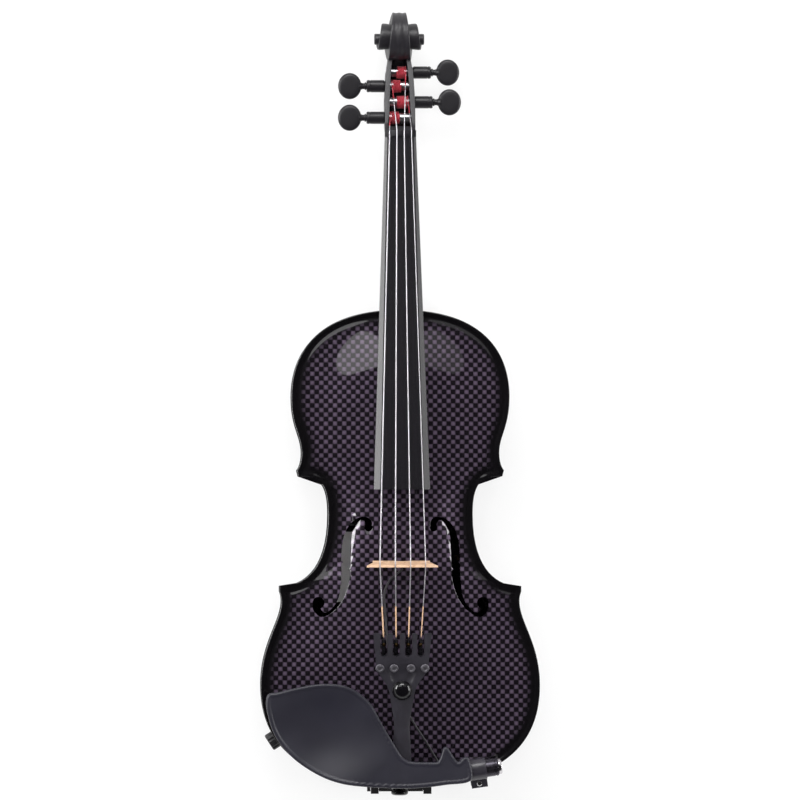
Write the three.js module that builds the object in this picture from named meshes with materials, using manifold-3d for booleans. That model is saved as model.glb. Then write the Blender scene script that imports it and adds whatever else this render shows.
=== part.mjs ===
// An acoustic-electric violin with a carbon-composite body, in millimetres.
// It lies on its back: +Z comes out of the top plate, +Y points to the scroll and +X to the treble side.
import * as THREE from "three";
import { mergeVertices } from "three/addons/utils/BufferGeometryUtils.js";
import Module from "manifold-3d";

const wasm = await Module();
wasm.setup();

// Clearances shared by the whole instrument
const gap = 0.3;
const runningGap = 0.2;
const overrun = 4;

// Body
const bodyLength = 356;
const upperBout = 163.6;
const waistWidth = 108.2;
const lowerBout = 209.2;
const ribHeight = 30;
const ribWall = 1.6;
const edgeThickness = 4;
const edgeOverhang = 2.8;
const edgeRound = 1;
const topArch = 15.5;
const backArch = 15;
const plateWall = 2.6;
const blockWidth = 52;
const blockDepth = 17;

// Neck, fingerboard and head
const neckStop = 130;
const headLength = 95.4;
const fingerboardLength = 265;
const nutWidth = 23.5;
const boardEndWidth = 42;
const boardEdge = 5;
const boardRadius = 42;
const overstand = 6;
const neckAngle = 6.2;
const neckDepthAtNut = 12.2;
const neckDepthAtBody = 13.2;
const boardMargin = 0.3;
const rootDepth = 6;
const rootFootWidth = 21;
const buttonLength = 11.5;
const nutThickness = 5;
const nutRise = 0.7;

// Bridge, strings and tail
const bodyStopShare = 0.5354;
const bridgeHeight = 32.5;
const nutSpacing = 16.5;
const bridgeSpacing = 34;
const tailLength = 108;
const tailEndGap = 1.7;
const buttonReach = 8.6;
const saddleRise = 8.5;

// Levels and stations worked out from the sizes above
const backSeat = backArch;
const topSeat = backSeat + ribHeight;
const topEdge = topSeat + edgeThickness;
const wholeLength = buttonReach + bodyLength + neckStop + headLength;
const bodyBottom = buttonReach - wholeLength / 2;
const bodyTop = bodyBottom + bodyLength;
const nutFace = bodyTop + neckStop;
const scrollTop = nutFace + headLength;
const bridgeLine = bodyTop - bodyLength * bodyStopShare;
const boardEnd = nutFace - fingerboardLength;
const neckSlope = Math.tan(THREE.MathUtils.degToRad(neckAngle));

// The finishes of the real pieces
const finishes = {
  carbonWeave: [0x3a323d, 0.22, 0.1],
  glossBlack: [0x0b0a0c, 0.12, 0.0],
  satinBlack: [0x232126, 0.45, 0.0],
  pegBlack: [0x37333a, 0.5, 0.0],
  chinrestBlack: [0x2d2c37, 0.38, 0.0],
  maple: [0xe0bf9f, 0.6, 0.0],
  spruce: [0xd9b98a, 0.7, 0.0],
  cork: [0xa8794f, 0.9, 0.0],
  paper: [0xb4b0b4, 0.9, 0.0],
  steel: [0xc9c6cc, 0.3, 1.0],
  blackMetal: [0x34323a, 0.35, 0.8],
  chrome: [0xe4dfe2, 0.1, 1.0],
  redSilk: [0xb22d3c, 0.7, 0.0],
  leadJacket: [0x242226, 0.5, 0.0],
};

const violin = new THREE.Group();

// Adds one piece to the instrument under its name.
function addPiece(name, shape, finish) {
  const [color, roughness, metalness] = finishes[finish];
  const geometry = shape.isBufferGeometry ? shape : toGeometry(shape);
  const mesh = new THREE.Mesh(geometry, new THREE.MeshStandardMaterial({ color, roughness, metalness }));
  mesh.name = name;
  violin.add(mesh);
  return mesh;
}

// Turns a closed mesh into a solid that can be joined and cut.
function toSolid(geometry) {
  let plain = geometry.clone();
  plain.deleteAttribute("normal");
  plain.deleteAttribute("uv");
  if (!plain.index) {
    plain.setIndex([...Array(plain.attributes.position.count).keys()]);
  }
  plain = mergeVertices(plain);
  const triangles = [];
  const index = plain.index.array;
  for (let i = 0; i < index.length; i += 3) {
    const [a, b, c] = [index[i], index[i + 1], index[i + 2]];
    if (a !== b && b !== c && c !== a) {
      triangles.push(a, b, c);
    }
  }
  const vertProperties = new Float32Array(plain.attributes.position.array);
  const mesh = new wasm.Mesh({ numProp: 3, vertProperties, triVerts: new Uint32Array(triangles) });
  return new wasm.Manifold(mesh);
}

function toGeometry(solid) {
  const mesh = solid.getMesh();
  const geometry = new THREE.BufferGeometry();
  geometry.setAttribute("position", new THREE.BufferAttribute(new Float32Array(mesh.vertProperties), 3));
  geometry.setIndex([...mesh.triVerts]);
  geometry.computeVertexNormals();
  return geometry;
}

function join(...solids) {
  return solids.reduce((whole, next) => whole.add(next));
}

function cut(solid, ...tools) {
  return tools.reduce((whole, tool) => whole.subtract(tool), solid);
}

// A closed skin over rings that all have the same number of points; open rings get a cap at each end.
function skin(rings, capped = true) {
  const count = rings[0].length;
  const positions = rings.flatMap((ring) => ring.flatMap((point) => [point.x, point.y, point.z]));
  const index = [];
  for (let r = 0; r + 1 < rings.length; r++) {
    for (let i = 0; i < count; i++) {
      const next = (i + 1) % count;
      const [a, b] = [r * count + i, r * count + next];
      index.push(a, b, b + count, a, b + count, a + count);
    }
  }
  if (capped) {
    for (const [r, flip] of [[0, true], [rings.length - 1, false]]) {
      const middle = rings[r].reduce((sum, point) => sum.add(point), new THREE.Vector3()).divideScalar(count);
      const hub = positions.length / 3;
      positions.push(middle.x, middle.y, middle.z);
      for (let i = 0; i < count; i++) {
        const [a, b] = [r * count + i, r * count + (i + 1) % count];
        index.push(...(flip ? [b, a, hub] : [a, b, hub]));
      }
    }
  }
  let geometry = new THREE.BufferGeometry();
  geometry.setAttribute("position", new THREE.Float32BufferAttribute(positions, 3));
  geometry.setIndex(index);
  geometry = mergeVertices(geometry);
  return facingOut(geometry);
}

// Turns the faces round where a skin came out inside out.
function facingOut(geometry) {
  const [a, b, c] = [new THREE.Vector3(), new THREE.Vector3(), new THREE.Vector3()];
  const place = geometry.attributes.position;
  const index = geometry.index.array;
  let volume = 0;
  for (let i = 0; i < index.length; i += 3) {
    a.fromBufferAttribute(place, index[i]);
    b.fromBufferAttribute(place, index[i + 1]);
    c.fromBufferAttribute(place, index[i + 2]);
    volume += a.dot(b.cross(c));
  }
  if (volume < 0) {
    for (let i = 0; i < index.length; i += 3) {
      [index[i], index[i + 1]] = [index[i + 1], index[i]];
    }
  }
  return geometry;
}

function at(x, y, z) {
  return new THREE.Vector3(x, y, z);
}

// A block between two corners.
function block(low, high) {
  const size = high.clone().sub(low);
  const middle = high.clone().add(low).divideScalar(2);
  return toSolid(new THREE.BoxGeometry(size.x, size.y, size.z).translate(middle.x, middle.y, middle.z));
}

// A flat outline pushed up along Z from a level.
function slab(points, level, height) {
  const shape = new THREE.Shape(points);
  const geometry = new THREE.ExtrudeGeometry(shape, { depth: height, bevelEnabled: false });
  return toSolid(geometry.translate(0, 0, level));
}

// A profile drawn in Y and Z, pushed along X between two places.
function sideSlab(points, fromX, toX) {
  const shape = new THREE.Shape(points);
  const geometry = new THREE.ExtrudeGeometry(shape, { depth: toX - fromX, bevelEnabled: false });
  geometry.rotateX(Math.PI / 2).rotateZ(Math.PI / 2).translate(fromX, 0, 0);
  return toSolid(geometry);
}

// A profile drawn in X and Z, pushed along Y between two places.
function frontSlab(points, fromY, toY) {
  const shape = new THREE.Shape(points);
  const geometry = new THREE.ExtrudeGeometry(shape, { depth: toY - fromY, bevelEnabled: false });
  geometry.rotateX(Math.PI / 2).translate(0, toY, 0);
  return toSolid(geometry);
}

const roundSides = 16;

// A rod between two points.
function rod(from, to, radius, endRadius = radius, sides = roundSides) {
  const along = to.clone().sub(from);
  const geometry = new THREE.CylinderGeometry(endRadius, radius, along.length(), sides);
  geometry.translate(0, along.length() / 2, 0);
  geometry.applyQuaternion(new THREE.Quaternion().setFromUnitVectors(at(0, 1, 0), along.normalize()));
  return toSolid(geometry.translate(from.x, from.y, from.z));
}

// A turned piece: its profile holds [radius, distance] pairs along an axis from a point.
function turned(profile, from, direction, sides = roundSides) {
  const points = profile.map(([radius, distance]) => new THREE.Vector2(radius, distance));
  const geometry = new THREE.LatheGeometry(points, sides);
  const upright = at(0, 1, 0);
  geometry.applyQuaternion(new THREE.Quaternion().setFromUnitVectors(upright, direction.clone().normalize()));
  return toSolid(facingOut(mergeVertices(stripped(geometry.translate(from.x, from.y, from.z)))));
}

function stripped(geometry) {
  geometry.deleteAttribute("normal");
  geometry.deleteAttribute("uv");
  return geometry;
}

// A route through its points in equal steps of the parameter, so a bend lies exactly on its point.
class Route extends THREE.Curve {
  constructor(points) {
    super();
    this.points = points;
  }
  getPoint(share, target = new THREE.Vector3()) {
    const place = share * (this.points.length - 1);
    const before = Math.min(Math.floor(place), this.points.length - 2);
    return target.copy(this.points[before]).lerp(this.points[before + 1], place - before);
  }
  getPointAt(share, target) {
    return this.getPoint(share, target);
  }
  getTangentAt(share, target) {
    return this.getTangent(share, target);
  }
}

// A round tube along a route.
function tube(points, radius, sides = 8) {
  const ring = [];
  for (let i = 0; i < sides; i++) {
    const angle = 2 * Math.PI * i / sides;
    ring.push(new THREE.Vector2(radius * Math.cos(angle), radius * Math.sin(angle)));
  }
  const settings = { steps: points.length - 1, extrudePath: new Route(points), bevelEnabled: false };
  return facingOut(mergeVertices(stripped(new THREE.ExtrudeGeometry(new THREE.Shape(ring), settings))));
}

// The body outline. Each point holds the bout it is a share of, its share of that bout's half width
// and its share of the body length from the top end. Each row of four is one curve.
const halfBout = { upper: upperBout / 2, waist: waistWidth / 2, lower: lowerBout / 2 };
const upperCurveShares = [
  [["upper", 0, 0], ["upper", 0.752, 0], ["upper", 1, 0.0875], ["upper", 1, 0.183]],
  [["upper", 1, 0.183], ["upper", 1, 0.247], ["upper", 0.906, 0.265], ["upper", 0.906, 0.301]],
  [["upper", 0.906, 0.301], ["upper", 0.906, 0.315], ["upper", 0.918, 0.3305], ["upper", 0.949, 0.338]],
];
const waistCurveShares = [
  [["upper", 0.935, 0.3505], ["waist", 1.116, 0.348], ["waist", 1, 0.366], ["waist", 1, 0.4305]],
  [["waist", 1, 0.4305], ["waist", 1, 0.574], ["lower", 0.779, 0.584], ["lower", 0.866, 0.582]],
];
const lowerCurveShares = [
  [["lower", 0.866, 0.5935], ["lower", 0.857, 0.6], ["lower", 0.853, 0.606], ["lower", 0.853, 0.6135]],
  [["lower", 0.853, 0.6135], ["lower", 0.853, 0.658], ["lower", 1, 0.7025], ["lower", 1, 0.7905]],
  [["lower", 1, 0.7905], ["lower", 1, 0.9375], ["lower", 0.631, 1], ["lower", 0, 1]],
];
const curveSteps = { upper: [7, 3, 2], waist: [5, 5], lower: [1, 4, 8] };

// One stretch of the outline, moved inwards by a margin.
function outlineStretch(curveShares, steps, margin) {
  const points = [];
  curveShares.forEach((corners, row) => {
    const places = corners.map(([bout, across, along]) => {
      return new THREE.Vector2(halfBout[bout] * across, bodyTop - bodyLength * along);
    });
    const curve = new THREE.CubicBezierCurve(...places);
    for (let i = row === 0 ? 0 : 1; i <= steps[row]; i++) {
      const share = i / steps[row];
      const tangent = curve.getTangent(share);
      points.push(curve.getPoint(share).add(new THREE.Vector2(tangent.y, -tangent.x).multiplyScalar(margin)));
    }
  });
  return points;
}

// Joins two stretches where they cross, or end to end where they don't.
function joinStretches(first, second) {
  for (let i = first.length - 1; i > 0; i--) {
    for (let j = 0; j + 1 < second.length; j++) {
      const hit = crossing(first[i - 1], first[i], second[j], second[j + 1]);
      if (hit) {
        return [...first.slice(0, i), hit, ...second.slice(j + 1)];
      }
    }
  }
  return [...first, ...second];
}

function crossing(a, b, c, d) {
  const [ab, cd, ac] = [b.clone().sub(a), d.clone().sub(c), c.clone().sub(a)];
  const turn = ab.cross(cd);
  if (turn === 0) {
    return null;
  }
  const [along, across] = [ac.cross(cd) / turn, ac.cross(ab) / turn];
  const inside = along >= 0 && along <= 1 && across >= 0 && across <= 1;
  return inside ? a.clone().add(ab.multiplyScalar(along)) : null;
}

function outlineHalf(margin) {
  const upper = outlineStretch(upperCurveShares, curveSteps.upper, margin);
  const waist = outlineStretch(waistCurveShares, curveSteps.waist, margin);
  const lower = outlineStretch(lowerCurveShares, curveSteps.lower, margin);
  return joinStretches(joinStretches(upper, waist), lower);
}

// The whole closed outline, moved inwards by a margin.
function outline(margin) {
  const right = outlineHalf(margin);
  right[0].x = 0;
  right[right.length - 1].x = 0;
  const left = right.slice(1, -1).reverse().map((point) => new THREE.Vector2(-point.x, point.y));
  return [...right, ...left];
}

// Plates: rings run from the rim to a straight spine on the centre line.
const spineShare = 0.5;
const archRingShares = [0.94, 0.82, 0.64, 0.42, 0.2, 0];
const seatRingShare = 0.93;

// A smooth half width without corners, which the arching follows, at a share of the length from the top
const archWidestShares = { upper: 0.183, waist: 0.43, lower: 0.79 };
const endRoundness = 2.4;
const endShare = 0.001;
const lengthwisePower = 0.5;
const crosswisePower = 1.4;
function archHalfWidth(along) {
  const { upper, waist, lower } = archWidestShares;
  if (along < upper) {
    return halfBout.upper * (1 - (1 - along / upper) ** endRoundness) ** (1 / endRoundness);
  }
  if (along > lower) {
    return halfBout.lower * (1 - ((along - lower) / (1 - lower)) ** endRoundness) ** (1 / endRoundness);
  }
  const [from, to, start, end] = along < waist
    ? [halfBout.upper, halfBout.waist, upper, waist]
    : [halfBout.waist, halfBout.lower, waist, lower];
  return THREE.MathUtils.lerp(from, to, THREE.MathUtils.smoothstep(along, start, end));
}

// The height of a plate's outer face over its seat; share is 1 at the rim and 0 on the spine.
function archHeight(share, x, y, arch) {
  const along = THREE.MathUtils.clamp((bodyTop - y) / bodyLength, endShare, 1 - endShare);
  const lengthwise = Math.sin(Math.PI * along) ** lengthwisePower;
  const across = Math.min(1, Math.abs(x) / archHalfWidth(along));
  const crosswise = (1 + Math.cos(Math.PI * across ** crosswisePower)) / 2;
  const fromRim = 1 - THREE.MathUtils.smoothstep(share, archRingShares[3], archRingShares[0]) ** 2;
  return edgeThickness + (arch - edgeThickness) * lengthwise * crosswise * fromRim;
}

// One arched plate; out is 1 where it bulges up and -1 where it bulges down.
function archedPlate(seat, arch, out) {
  const rim = outline(0);
  const middle = (bodyTop + bodyBottom) / 2;
  const ring = (share, height) => rim.map((point) => {
    const spineY = middle + (point.y - middle) * spineShare;
    const [x, y] = [point.x * share, spineY + (point.y - spineY) * share];
    return at(x, y, seat + out * (typeof height === "function" ? height(x, y) : height));
  });
  const rounded = 1 - edgeRound / halfBout.waist;
  const inner = archRingShares.slice(1).map((share) => {
    return ring(share, (x, y) => archHeight(share, x, y, arch) - plateWall);
  });
  const outer = archRingShares.map((share) => ring(share, (x, y) => archHeight(share, x, y, arch)));
  const rings = [
    ...inner.reverse(),
    ring(seatRingShare, 0),
    ring(1, 0),
    ring(1, edgeThickness - edgeRound),
    ring(rounded, edgeThickness),
    ...outer,
  ];
  return toSolid(skin(rings, false));
}

// The levels where a vertical line meets a piece, from the top down or from the bottom up.
const ray = new THREE.Raycaster();
function levelsAt(mesh, x, y, fromAbove) {
  ray.set(at(x, y, fromAbove ? wholeLength : -wholeLength), at(0, 0, fromAbove ? -1 : 1));
  mesh.material.side = THREE.DoubleSide;
  return ray.intersectObject(mesh).map((hit) => hit.point.z);
}

// Neck surface: the plane that the fingerboard is glued to
function glueLevel(y) {
  return topEdge + overstand + (bodyTop - y) * neckSlope;
}

function boardWidth(y) {
  return nutWidth + (boardEndWidth - nutWidth) * (nutFace - y) / fingerboardLength;
}

function boardTop(x, y) {
  const half = boardWidth(y) / 2;
  const crown = Math.sqrt(boardRadius ** 2 - x ** 2) - Math.sqrt(boardRadius ** 2 - half ** 2);
  return glueLevel(y) + boardEdge + crown;
}

// Neck root: the tenon that goes into the upper block, wider at the fingerboard than at the button
const rootTopHalf = boardWidth(bodyTop) / 2 - boardMargin;
function rootPrism(margin, fromY, toY, top) {
  const widen = (rootTopHalf - rootFootWidth / 2) / (glueLevel(bodyTop) - backSeat);
  const half = (z) => rootFootWidth / 2 + widen * (z - backSeat) + margin;
  const bottom = backSeat - (margin > 0 ? overrun / 2 : 0);
  const corners = [[-half(bottom), bottom], [half(bottom), bottom], [half(top), top], [-half(top), top]];
  return frontSlab(corners.map(([x, z]) => new THREE.Vector2(x, z)), fromY, toY);
}
const rootTop = glueLevel(bodyTop - rootDepth) + overrun;
const rootCutter = rootPrism(gap, bodyTop - rootDepth - gap, bodyTop + overrun, rootTop);

// Sound holes: a stem whose hooked ends run into two round eyes, cut through the top on each side.
// Places are shares of half the waist from the centre line, and of the hole's length from its top.
const soundHoleTop = 155.5;
const soundHoleLength = 75;
const upperEyeRadius = 2.9;
const lowerEyeRadius = 4.4;
const notchDepth = 1.2;
const upperEyeShares = [0.451, 0.105];
const lowerEyeShares = [1.139, 0.856];
const innerNotchShare = 0.517;
const outerNotchShare = 0.448;
const stemInnerShares = [
  [0.488, 0.088], [0.501, 0.052], [0.529, 0.033], [0.573, 0.035], [0.628, 0.087], [0.673, 0.16],
  [0.691, 0.267], [0.699, 0.373], [0.701, 0.496],
];
const stemInnerLowShares = [
  [0.701, 0.539], [0.713, 0.627], [0.745, 0.72], [0.806, 0.827], [0.898, 0.915], [1.017, 0.981],
  [1.109, 0.995], [1.187, 0.955], [1.218, 0.907], [1.218, 0.867],
];
const stemOuterLowShares = [
  [1.113, 0.905], [1.087, 0.939], [1.043, 0.955], [0.972, 0.925], [0.898, 0.861], [0.854, 0.78],
  [0.832, 0.667], [0.823, 0.56], [0.823, 0.469],
];
const stemOuterShares = [
  [0.823, 0.427], [0.819, 0.36], [0.804, 0.253], [0.765, 0.147], [0.699, 0.067], [0.61, 0.013],
  [0.529, 0], [0.47, 0.004], [0.425, 0.025], [0.403, 0.061], [0.407, 0.099],
];

function soundHoleCutter(side) {
  const notchShare = notchDepth / halfBout.waist;
  const inner = [
    ...stemInnerShares, [stemInnerShares.at(-1)[0] + notchShare, innerNotchShare], ...stemInnerLowShares,
  ];
  const outer = [
    ...stemOuterLowShares, [stemOuterShares[0][0] - notchShare, outerNotchShare], ...stemOuterShares,
  ];
  const place = ([across, down]) => {
    return new THREE.Vector2(side * halfBout.waist * across, bodyTop - soundHoleTop - soundHoleLength * down);
  };
  const stem = slab([...inner, ...outer].map(place), topSeat - overrun, topArch + 2 * overrun);
  const eye = (shares, radius) => {
    const { x, y } = place(shares);
    return rod(at(x, y, topSeat - overrun), at(x, y, topSeat + topArch + overrun), radius);
  };
  return join(stem, eye(upperEyeShares, upperEyeRadius), eye(lowerEyeShares, lowerEyeRadius));
}

const plainTop = archedPlate(topSeat, topArch, 1);
const topSolid = cut(plainTop, soundHoleCutter(1), soundHoleCutter(-1), rootCutter);
const topPlate = addPiece("top_plate", topSolid, "carbonWeave");

const buttonArcSteps = 10;
const buttonDisc = [];
for (let i = 0; i <= buttonArcSteps; i++) {
  const angle = Math.PI * i / buttonArcSteps;
  const half = rootFootWidth / 2;
  buttonDisc.push(new THREE.Vector2(half * Math.cos(angle), bodyTop + buttonLength * Math.sin(angle)));
}
buttonDisc.push(new THREE.Vector2(-rootFootWidth / 2, bodyTop - edgeThickness));
buttonDisc.push(new THREE.Vector2(rootFootWidth / 2, bodyTop - edgeThickness));
const backButton = slab(buttonDisc, backSeat - edgeThickness, edgeThickness);
const archedBack = archedPlate(backSeat, backArch, -1);
const backPlate = addPiece("back_plate", join(archedBack, backButton), "glossBlack");

// Volume control: its place on the lower bass bout, as shares of half that bout and of the body length,
// and the direction it points, square to the rib there
const knobPlaceShares = [0.8662, 0.8994];
const knobAimShare = 0.4487;
const knobRadius = 6.6;
const knobLength = 7.4;
const knobStand = 1.76;
const shaftRadius = 3;
const bushRadius = 3.6;
const potRadius = 8;
const potDepth = 9;
const potFlange = 2;
const knobFlutes = 12;
const fluteDepth = 0.7;
const socketShare = 0.7;
const knobAxisPoint = at(
  -halfBout.lower * knobPlaceShares[0],
  bodyTop - bodyLength * knobPlaceShares[1],
  backSeat + ribHeight / 2,
);
const knobDirection = at(-knobAimShare * bodyLength, -halfBout.lower, 0).normalize();

// End button
const buttonRadius = 6.4;
const buttonNeckRadius = 4;
const buttonShankRadius = 3.2;
const buttonShankLength = 18;
const buttonCollar = 2.2;
const buttonHeadLength = 4.6;
const buttonLevel = backSeat + ribHeight / 2;
const ribFoot = bodyBottom + edgeOverhang;

// Ribs
const ribInside = slab(outline(edgeOverhang + ribWall), backSeat - overrun, ribHeight + 2 * overrun);
const ribShell = cut(slab(outline(edgeOverhang), backSeat, ribHeight), ribInside);
const along = (from, direction, distance) => from.clone().addScaledVector(direction, distance);
const bushHole = rod(
  along(knobAxisPoint, knobDirection, -overrun - ribWall),
  along(knobAxisPoint, knobDirection, overrun),
  bushRadius + gap,
);
const shankHole = rod(
  at(0, ribFoot - overrun, buttonLevel),
  at(0, ribFoot + buttonShankLength + overrun, buttonLevel),
  buttonShankRadius + gap,
);
addPiece("ribs", cut(ribShell, rootCutter, bushHole, shankHole), "glossBlack");

// Blocks inside the ribs
const innerFill = slab(outline(edgeOverhang + ribWall + gap), backSeat, ribHeight);
const blockHalf = blockWidth / 2;
const neckBlockLow = at(-blockHalf, bodyTop - edgeOverhang - ribWall - blockDepth, backSeat);
const neckBlock = innerFill.intersect(block(neckBlockLow, at(blockHalf, bodyTop, topSeat)));
addPiece("neck_block", cut(neckBlock, rootCutter), "satinBlack");
const endBlockHigh = at(blockHalf, ribFoot + ribWall + blockDepth, topSeat);
const endBlock = innerFill.intersect(block(at(-blockHalf, bodyBottom, backSeat), endBlockHigh));
addPiece("end_block", cut(endBlock, shankHole), "satinBlack");

// Bass bar: runs along the underside of the top below the bass foot of the bridge
const footSpan = 42.5;
const barInset = 4.5;
const barFromTop = 52;
const barFromBottom = 54;
const barLean = 2;
const barWidth = 5.5;
const barDepth = 10;
const barEndShare = 0.35;
const barGap = 0.42;
const barSteps = 8;
const barRings = [];
for (let i = 0; i <= barSteps; i++) {
  const share = i / barSteps;
  const y = THREE.MathUtils.lerp(bodyBottom + barFromBottom, bodyTop - barFromTop, share);
  const x = barInset - footSpan / 2 + barLean * (share - 0.5);
  const [left, right] = [x - barWidth / 2, x + barWidth / 2];
  const roof = Math.min(levelsAt(topPlate, left, y, true).at(-1), levelsAt(topPlate, right, y, true).at(-1));
  const level = roof + plateWall / 4;
  const deep = barDepth * THREE.MathUtils.lerp(barEndShare, 1, Math.sin(Math.PI * share));
  barRings.push([
    at(left, y, level), at(right, y, level), at(right, y, level - deep), at(left, y, level - deep),
  ]);
}
const loweredTop = topSolid.translate([0, 0, -barGap]);
addPiece("bass_bar", cut(toSolid(skin(barRings)), loweredTop), "spruce");

// Sound post: stands between back and top behind the treble foot of the bridge
const postRadius = 3.1;
const postInset = 4.2;
const postBehind = 6;
const postX = footSpan / 2 - postInset;
const postY = bridgeLine - postBehind;
let postTop = topSeat + topArch;
let postFoot = 0;
for (let i = 0; i < roundSides; i++) {
  const angle = 2 * Math.PI * i / roundSides;
  const [x, y] = [postX + postRadius * Math.cos(angle), postY + postRadius * Math.sin(angle)];
  postTop = Math.min(postTop, levelsAt(topPlate, x, y, true).at(-1));
  postFoot = Math.max(postFoot, levelsAt(backPlate, x, y, false).at(-1));
}
const soundPost = rod(at(postX, postY, postFoot + gap), at(postX, postY, postTop - gap), postRadius);
addPiece("sound_post", soundPost, "spruce");

// Paper label: lies inside the back under the bass sound hole, and is bare
const labelWidth = 36;
const labelLength = 53;
const labelThickness = 0.4;
const labelMargin = 6.1;
const labelSteps = 6;
const labelY = bodyTop - soundHoleTop - soundHoleLength / 2;
const labelEnds = [labelY - labelLength / 2, labelY, labelY + labelLength / 2];
const labelRings = [];
for (let i = 0; i <= labelSteps; i++) {
  const x = labelMargin - halfBout.waist + labelWidth * i / labelSteps;
  const level = Math.max(...labelEnds.map((y) => levelsAt(backPlate, x, y, false).at(-1))) + gap;
  labelRings.push([
    at(x, labelEnds[0], level),
    at(x, labelEnds[2], level),
    at(x, labelEnds[2], level + labelThickness),
    at(x, labelEnds[0], level + labelThickness),
  ]);
}
addPiece("inside_label", skin(labelRings), "paper");

// Scroll: a spiral in the side view that widens towards its eye, as shares of its radius and eye width
const scrollRadius = 20.3;
const eyeHalfWidth = 18.8;
const scrollTurnSteps = 16;
const turnRadiusShares = [1.03, 1, 0.9, 0.8, 0.7, 0.59, 0.49, 0.395, 0.3, 0.205];
const turnWidthShares = [0.46, 0.28, 0.385, 0.47, 0.6, 0.7, 0.8, 0.875, 0.94, 1];
const scrollFloor = 0;
const scrollCentre = { y: scrollTop - scrollRadius, z: scrollFloor + scrollRadius * turnRadiusShares[0] };

function shareAtTurn(shares, quarter) {
  const before = Math.min(Math.floor(quarter), shares.length - 2);
  return THREE.MathUtils.lerp(shares[before], shares[before + 1], quarter - before);
}

// One turn of the scroll: quarter 0 points to the back, quarter 1 to the end of the head.
function scrollTurn(turn) {
  const left = [];
  const right = [];
  const lastQuarter = turnRadiusShares.length - 1;
  for (let i = 0; i <= scrollTurnSteps; i++) {
    const quarter = 4 * (turn + i / scrollTurnSteps);
    const radius = scrollRadius * shareAtTurn(turnRadiusShares, Math.min(quarter, lastQuarter));
    const half = eyeHalfWidth * shareAtTurn(turnWidthShares, Math.min(quarter, lastQuarter));
    const angle = Math.PI / 2 * (quarter - 1);
    const [y, z] = [scrollCentre.y + radius * Math.cos(angle), scrollCentre.z + radius * Math.sin(angle)];
    left.push(at(-half, y, z));
    right.push(at(half, y, z));
  }
  const positions = [];
  const count = left.length;
  const middleHalf = (right[0].x + right[count - 1].x) / 2;
  const hubs = [-middleHalf, middleHalf].map((x) => at(x, scrollCentre.y, scrollCentre.z));
  for (const point of [...left, ...right, ...hubs]) {
    positions.push(point.x, point.y, point.z);
  }
  const index = [];
  for (let i = 0; i < count; i++) {
    const next = (i + 1) % count;
    index.push(i, next, count + next, i, count + next, count + i);
    index.push(next, i, 2 * count, count + i, count + next, 2 * count + 1);
  }
  const geometry = new THREE.BufferGeometry();
  geometry.setAttribute("position", new THREE.Float32BufferAttribute(positions, 3));
  geometry.setIndex(index);
  return toSolid(facingOut(geometry));
}
const eyeRadius = scrollRadius * turnRadiusShares.at(-1);
const scrollEye = rod(
  at(-eyeHalfWidth, scrollCentre.y, scrollCentre.z),
  at(eyeHalfWidth, scrollCentre.y, scrollCentre.z),
  eyeRadius,
);

// Pegbox: its front rim falls away from the nut, and its walls draw in towards the scroll.
// Each station holds a share of the run from the nut to the scroll's middle, a share of half the
// nut width and a depth share. The corners under it are shares of its half width.
const nutShelf = 0.6;
const pegboxStart = nutFace + nutThickness + nutShelf;
const pegboxRise = 2.4;
const pegboxFall = 0.315;
const pegboxDepth = 27.6;
const pegboxCornerShares = [0.15, 0.48, 0.6];
const pegboxStationShares = [
  [-0.1, 0.95, 0.42], [-0.04, 0.965, 0.66], [0.03, 0.97, 0.9], [0.12, 0.97, 1], [0.3, 0.97, 0.985],
  [0.5, 0.92, 0.93], [0.64, 0.86, 0.88], [0.76, 0.74, 0.84], [0.88, 0.67, 0.83],
];
const pegboxRun = scrollCentre.y - pegboxStart;
const cavityShares = [
  [0.035, 0.78, 0.62], [0.12, 0.75, 0.72], [0.22, 0.67, 0.72], [0.45, 0.62, 0.7], [0.66, 0.54, 0.66],
  [0.79, 0.45, 0.5],
];

function rimLevel(y) {
  return glueLevel(nutFace) + pegboxRise - (y - pegboxStart) * pegboxFall;
}

function pegboxRings(stations) {
  return stations.map(([run, width, depth]) => {
    const y = pegboxStart + pegboxRun * run;
    const half = nutWidth / 2 * width;
    const front = Math.min(rimLevel(y), glueLevel(nutFace) + pegboxRise);
    const back = rimLevel(y) - pegboxDepth * depth;
    const [near, flat, start] = pegboxCornerShares.map((share) => half * share);
    return [
      at(-half, y, front), at(half, y, front), at(half, y, back + start), at(half - near, y, back + near),
      at(half - flat, y, back), at(flat - half, y, back), at(near - half, y, back + near),
      at(-half, y, back + start),
    ];
  });
}

function cavityRings() {
  return cavityShares.map(([run, width, depth]) => {
    const y = pegboxStart + pegboxRun * run;
    const half = nutWidth / 2 * width;
    const [roof, floor] = [rimLevel(y) + overrun, rimLevel(y) - pegboxDepth * depth];
    return [at(-half, y, roof), at(half, y, roof), at(half, y, floor), at(-half, y, floor)];
  });
}

// Pegs: the side that the head stands on, and the axle's place as shares of the pegbox's run and depth
const pegs = [
  { string: "g", side: -1, runShare: 0.1381, depthShare: 0.3623, loops: 5 },
  { string: "e", side: 1, runShare: 0.3122, depthShare: 0.3768, loops: 6 },
  { string: "d", side: -1, runShare: 0.4892, depthShare: 0.3804, loops: 5 },
  { string: "a", side: 1, runShare: 0.6417, depthShare: 0.3623, loops: 5 },
];
const collarRadius = 4.65;
const collarSeatRadius = 3.9;
const collarLength = 13.6;
const collarFloor = 2;
const collarChamfer = 0.8;
const collarMouthShare = 0.94;
const collarSetback = 0.2;
const spoolRadius = 3.6;
const spoolEndRadius = 3.1;
const spoolTip = 0.6;
const spoolShoulder = 0.5;
const pegNeckRadius = 2.3;
const pegNeckLength = 3.9;
const pegHeadLength = 17.6;
const pegHeadWidth = 19.8;
const pegHeadThickness = 7;
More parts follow.
